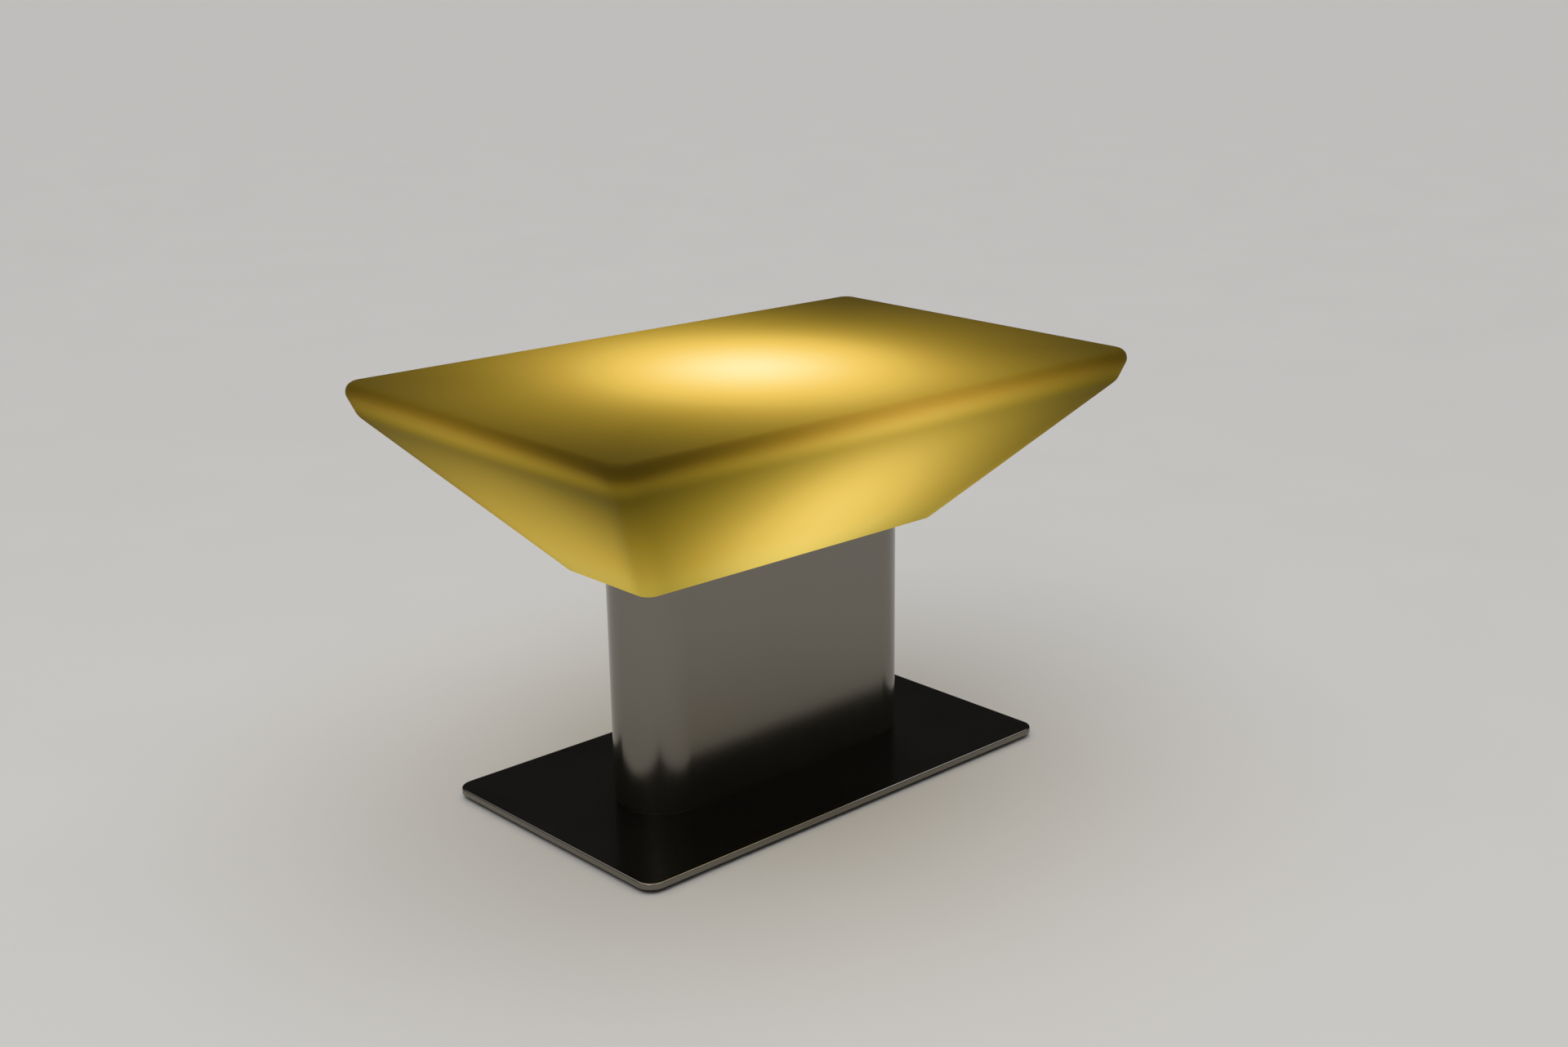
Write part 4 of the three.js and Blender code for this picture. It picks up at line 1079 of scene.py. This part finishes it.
def rocker_outline():
    """The side view as (y, z) from the pivot: the curved face, the skirts and the heel."""
    shares = [step / 6 for step in range(-6, 7)]
    points = [(wing_face(share), rocker_half * share) for share in shares]
    return points + [(rocker_skirt, rocker_half), (-rocker_heel, 0), (rocker_skirt, -rocker_half)]


def tip_rocker(bm):
    rotate(bm, rocker_tilt, "X")
    shift(bm, pivot)


bm = bmesh.new()
side_view = bm.faces.new([bm.verts.new((-rocker_half_width, y, z)) for y, z in rocker_outline()])
solid = bmesh.ops.extrude_face_region(bm, geom=[side_view], use_keep_orig=True)
moved = [part for part in solid["geom"] if isinstance(part, bmesh.types.BMVert)]
bmesh.ops.translate(bm, verts=moved, vec=(2 * rocker_half_width, 0, 0))
bmesh.ops.recalc_face_normals(bm, faces=bm.faces)
edges = [edge for edge in bm.edges if edge.calc_face_angle() > rocker_sharp]
bmesh.ops.bevel(
    bm, geom=edges, offset=rocker_soft, segments=3, profile=0.5, affect="EDGES",
    clamp_overlap=True, material=-1,
)
tip_rocker(bm)
finished(bm, "rocker_key", "rocker", "black_plastic", ["rocker"])

# %% [markdown]
# The marks on the rocker are the plain bar and ring of every mains switch. They stand a hair proud of
# the face, as pad-printed paint does, and ride on the rocker.

# %% The rocker's marks
def lay_mark(bm, share, name):
    """Lays a mark on the rocker's face, at the face's own tilt there, and tips it with the rocker."""
    slope = math.atan(2 * rocker_dip * share / rocker_half)
    face_back(bm, 0, 0, 0)
    rotate(bm, -slope, "X")
    shift(bm, (0, wing_face(share), rocker_half * share))
    tip_rocker(bm)
    finished(bm, name, "rocker", "black_plastic", finish="mark_paint")


mark_share = 0.52
paint_top = 0.06 * mm
paint_root = -0.1 * mm
bm = bmesh.new()
stack(bm, [level(0.4 * mm, 2.0 * mm, 0.2 * mm, z) for z in (paint_root, paint_top)], 3)
lay_mark(bm, mark_share, "rocker_bar_mark")

bm = bmesh.new()
ring_inner = 1.55 * mm
ring_outer = 2.25 * mm
turn(bm, [
    (ring_inner, paint_root), (ring_outer, paint_root), (ring_outer, paint_top), (ring_inner, paint_top),
    (ring_inner, paint_root),
], 32)
lay_mark(bm, -mark_share, "rocker_ring_mark")

# %% [markdown]
# ## The colour button
# A press on this button changes the colour of the light. The housing is a turned cup with a soft
# collar, and the button in it is slightly dished, so that a finger finds its middle. The coil spring
# behind it is held by the cup, and on the real button it shortens as the button goes in. Here the
# spring only gets a mesh of its own, and the cell prints how much of its length it keeps when pressed.

# %% The colour button
def back_turned(name, body, slot, node, profile, x):
    """A turned piece that points out of the back. Its heights are counted from the lip's front."""
    bm = bmesh.new()
    turn(bm, profile, 40)
    face_back(bm, x, lip_front, panel_z)
    finished(bm, name, body, slot, [node])


collar_radius = 8.5 * mm
collar_round = 0.8 * mm
button_radius = 5 * mm
cup_depth = 18 * mm
cup_floor = -11.1 * mm
cup_inside = button_radius + fit
collar = [(0, -cup_depth), (cup_radius, -cup_depth)]
collar += [(cup_radius, -lip_thickness), (collar_radius, -lip_thickness)]
collar += rounded_edge(collar_radius, 0, collar_round)
collar += [(cup_inside + fit, 0), (cup_inside, -fit), (cup_inside, cup_floor), (0, cup_floor)]
back_turned("button_collar", "stand", "black_plastic", "button_housing", collar, button_x)

button_low, button_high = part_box("colour_button")
button_front = button_high.y - lip_front
button_back = button_low.y - lip_front
button_round = 0.7 * mm
button_dish = 0.45 * mm
dish_start = 0.8
cap_profile = [(0, button_back), (button_radius, button_back)]
cap_profile += rounded_edge(button_radius, button_front, button_round)
for share in (0.66, 0.5, 0.3, 0.12, 0):
    depth = button_dish * (1 - (share / dish_start) ** 2)
    cap_profile.append((button_radius * share, button_front - depth))
back_turned("button_cap", "colour_button", "grey_plastic", "colour_button", cap_profile, button_x)

spring_low, spring_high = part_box("button_spring")
press = joints["button_press"]["range_m"][1]
spring_gap = 0.05 * mm
left_over = 1 - (press + spring_gap) / (spring_high.y - spring_low.y)
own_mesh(nodes["button_spring"])
print("pressed, the spring keeps", round(left_over, 2), "of its length")

# %% [markdown]
# ## The charging indicator
# A small green lens with a domed top sits in its own hole, and lights while the battery charges.

# %% The charging indicator
lens_low, lens_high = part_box("charging_indicator")
lens_front = lens_high.y - lip_front
lens_back = lens_low.y - lip_front
lens_seat = plate_high.y + fit - lip_front
lens_radius = 2.5 * mm
dome_base = lens_seat + 0.2 * mm
lens_profile = [(0, lens_back), (lens_neck, lens_back), (lens_neck, lens_seat), (lens_radius, lens_seat)]
for sine, cosine in quarter_turn(5):
    lens_profile.append((lens_radius * cosine, dome_base + (lens_front - dome_base) * sine))
back_turned("indicator_lens", "stand", "green_lens", "charging_indicator", lens_profile, indicator_x)

# %% [markdown]
# ## The charging socket
# The socket is a square flange with a bore, and a contact pin stands in the bore. A circle and a
# rounded square have the same number of points here, so one chain of loops goes from the floor of the
# bore to the end of the body. Two ears above it hold the pin that the rubber cover swings on.

# %% The charging socket
cover_axis = Vector(joints["cover_swing"]["pos_m"])
flange_half = 10 * mm
bore_radius = 3.2 * mm
bore_depth = 11 * mm
socket_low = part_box("socket_housing")[0]
ear_half = 1 * mm
ear_near = 4.2 * mm
knuckle_radius = 2 * mm
contact_radius = 1.05 * mm
contact_tip = 0.8 * mm

bm = bmesh.new()
stack(bm, [
    round_level(bore_radius, -bore_depth),
    round_level(bore_radius, -0.5 * mm),
    round_level(bore_radius + 0.5 * mm, 0),
    level(flange_half - 0.6 * mm, flange_half - 0.6 * mm, 2.4 * mm, 0),
    level(flange_half - 0.18 * mm, flange_half - 0.18 * mm, 2.8 * mm, -0.18 * mm),
    level(flange_half, flange_half, 3 * mm, -0.6 * mm),
    level(flange_half, flange_half, 3 * mm, -lip_thickness),
    round_level(cup_radius, -lip_thickness),
    round_level(cup_radius, socket_low.y - lip_front),
], 8)
turn(bm, [
    (contact_radius, -bore_depth - 0.5 * mm), (contact_radius, -2.5 * mm), (contact_tip, -2.1 * mm),
    (0, -2.0 * mm),
], 20)
ear_top = cover_axis.y + knuckle_radius - lip_front
for side in (-1, 1):
    ear_middle = (side * (ear_near + ear_half), panel_z - cover_axis.z)
    stack(bm, [
        level(ear_half, knuckle_radius, 0.3 * mm, -1 * mm),
        level(ear_half, knuckle_radius, 0.3 * mm, ear_top - knuckle_radius),
        level(ear_half, knuckle_radius * 0.87, 0.3 * mm, ear_top - knuckle_radius * 0.5),
        level(ear_half, knuckle_radius * 0.5, 0.3 * mm, ear_top - knuckle_radius * 0.13),
        level(ear_half - 0.2 * mm, knuckle_radius * 0.15, 0.1 * mm, ear_top),
    ], 4, ear_middle)
face_back(bm, socket_x, lip_front, panel_z)
finished(bm, "socket_frame", "stand", "black_plastic", ["socket_housing"])

# %% [markdown]
# ## The socket's cover
# The cover is moulded rubber: a lid with a thumb tab, a neck and a knuckle that turns on the pin. The
# lid and the neck are drawn as flat shapes with rounded edges, and the knuckle is turned about X.

# %% The socket's cover
lid_back = lip_front + fit
lid_thickness = 1.8 * mm
lid_radius = 6 * mm
cover_soft = 0.5 * mm


def cushion(bm, half_x, half_y, corner, low, high, centre=(0, 0), steps=8):
    """A flat block with rounded upper and lower edges, drawn lying down."""
    size = (half_x, half_y, corner)
    some = cover_soft * 0.3
    stack(bm, [pulled_in(size, inset, z) for inset, z in (
        (cover_soft, low), (some, low + some), (0, low + cover_soft),
        (0, high - cover_soft), (some, high - some), (cover_soft, high),
    )], steps, centre)


bm = bmesh.new()
neck_half_x = 3.5 * mm
neck_half = (cover_axis.z - panel_z) / 2
neck_sink = 0.05 * mm
cushion(bm, lid_radius, lid_radius, lid_radius, 0, lid_thickness, steps=10)
cushion(bm, neck_half_x, neck_half + 1 * mm, 1 * mm, neck_sink, lid_thickness - neck_sink, (0, -neck_half))
cushion(bm, 2.5 * mm, 1.5 * mm, 1.2 * mm, 0.02 * mm, 2.6 * mm, (0, lid_radius))
face_back(bm, socket_x, lid_back, panel_z)
finished(bm, "cover_lid", "socket_cover", "black_rubber", ["socket_cover"])

# %% The knuckle and its pin
def turned_on_axis(profile, steps):
    """A turned piece that lies along the axis of the cover's hinge."""
    bm = bmesh.new()
    turn(bm, profile, steps)
    rotate(bm, math.radians(90), "Y")
    shift(bm, cover_axis)
    return bm


def chamfered(inner, outer, half, chamfer):
    """One side of a turned bar or sleeve, from end to end."""
    return [
        (inner, -half), (outer - chamfer, -half), (outer, chamfer - half),
        (outer, half - chamfer), (outer - chamfer, half), (inner, half),
    ]


pin_hole = 1.2 * mm
knuckle_half = 3.9 * mm
sleeve = chamfered(pin_hole, knuckle_radius, knuckle_half, 0.3 * mm)
bm = turned_on_axis(sleeve + sleeve[:1], 32)
finished(bm, "cover_knuckle", "socket_cover", "black_rubber")

pin_radius = 0.9 * mm
pin_half = half_of("cover_pin").x
bm = turned_on_axis(chamfered(0, pin_radius, pin_half, 0.1 * mm), 24)
finished(bm, "hinge_pin", "stand", "zinc_steel", ["cover_pin"])

# %% [markdown]
# ## The studio
# The stage is a plain pale floor that reaches the horizon, where a low pale skirting goes up. The light
# is soft and comes from above, as from a large frame of cloth under the ceiling. The table shades the
# floor around its plate from it, so the warm light of its own glow shows there. The plate mirrors the
# dim walls of the room, so it looks dark, and the column mirrors the pale floor.

# %% The floor
bm = bmesh.new()
bmesh.ops.create_circle(bm, cap_ends=True, segments=96, radius=60)
floor_mesh = bpy.data.meshes.new("floor")
bm.to_mesh(floor_mesh)
bm.free()
floor = added("floor", floor_mesh)
floor_finish = Finish("floor")
floor_grain = floor_finish.noise(3, detail=4)
floor_finish.set(
    Base_Color=floor_finish.mix(floor_grain, (0.56, 0.55, 0.535), (0.58, 0.57, 0.555)),
    Roughness=0.6 + floor_grain * 0.1,
)
floor.data.materials.append(floor_finish.material)
floor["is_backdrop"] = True
print("the floor is", floor.dimensions.x, "m across")

# %% The light
world = bpy.data.worlds.new("studio")
world.use_nodes = True
sky = Graph(world.node_tree)
sky_height = sky.split(sky.add("TexCoord", {}, {}, output="Generated"))[2]
skirting = (0.52, 0.52, 0.52)
walls = (0.015, 0.015, 0.015)
ceiling = (1.70, 1.70, 1.70)
sky_stops = [(0.0, skirting), (0.10, skirting), (0.18, walls), (0.54, walls), (0.80, ceiling)]
sky_colour = sky.ramp(sky_height, sky_stops)
sky.fill(world.node_tree.nodes["Background"].inputs["Color"], sky_colour)
bpy.context.scene.world = world

lamp_stand = Vector((-2.4, -1.2, 3.0))
lamp_aim = Vector((0, 0, 0.35))
light = bpy.data.lights.new("key", "AREA")
light.size = 1.6
light.energy = 14
light.color = (1.0, 0.98, 0.95)
lamp = added("key", light)
lamp.location = lamp_stand
lamp.rotation_euler = (lamp_aim - lamp_stand).to_track_quat("-Z", "Y").to_euler()
bpy.context.scene.view_settings.view_transform = "Standard"

# %% [markdown]
# ## The sizes
# The dressed table must keep to the real one's outline, so the box round everything is measured again
# and set beside the CAD model's.

# %% The sizes
low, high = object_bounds()
growth = [round((visual - cad) / mm, 2) for visual, cad in zip((*low, *high), (*cad_low, *cad_high))]
print("the dressed table's box less the CAD box, in mm:", growth)
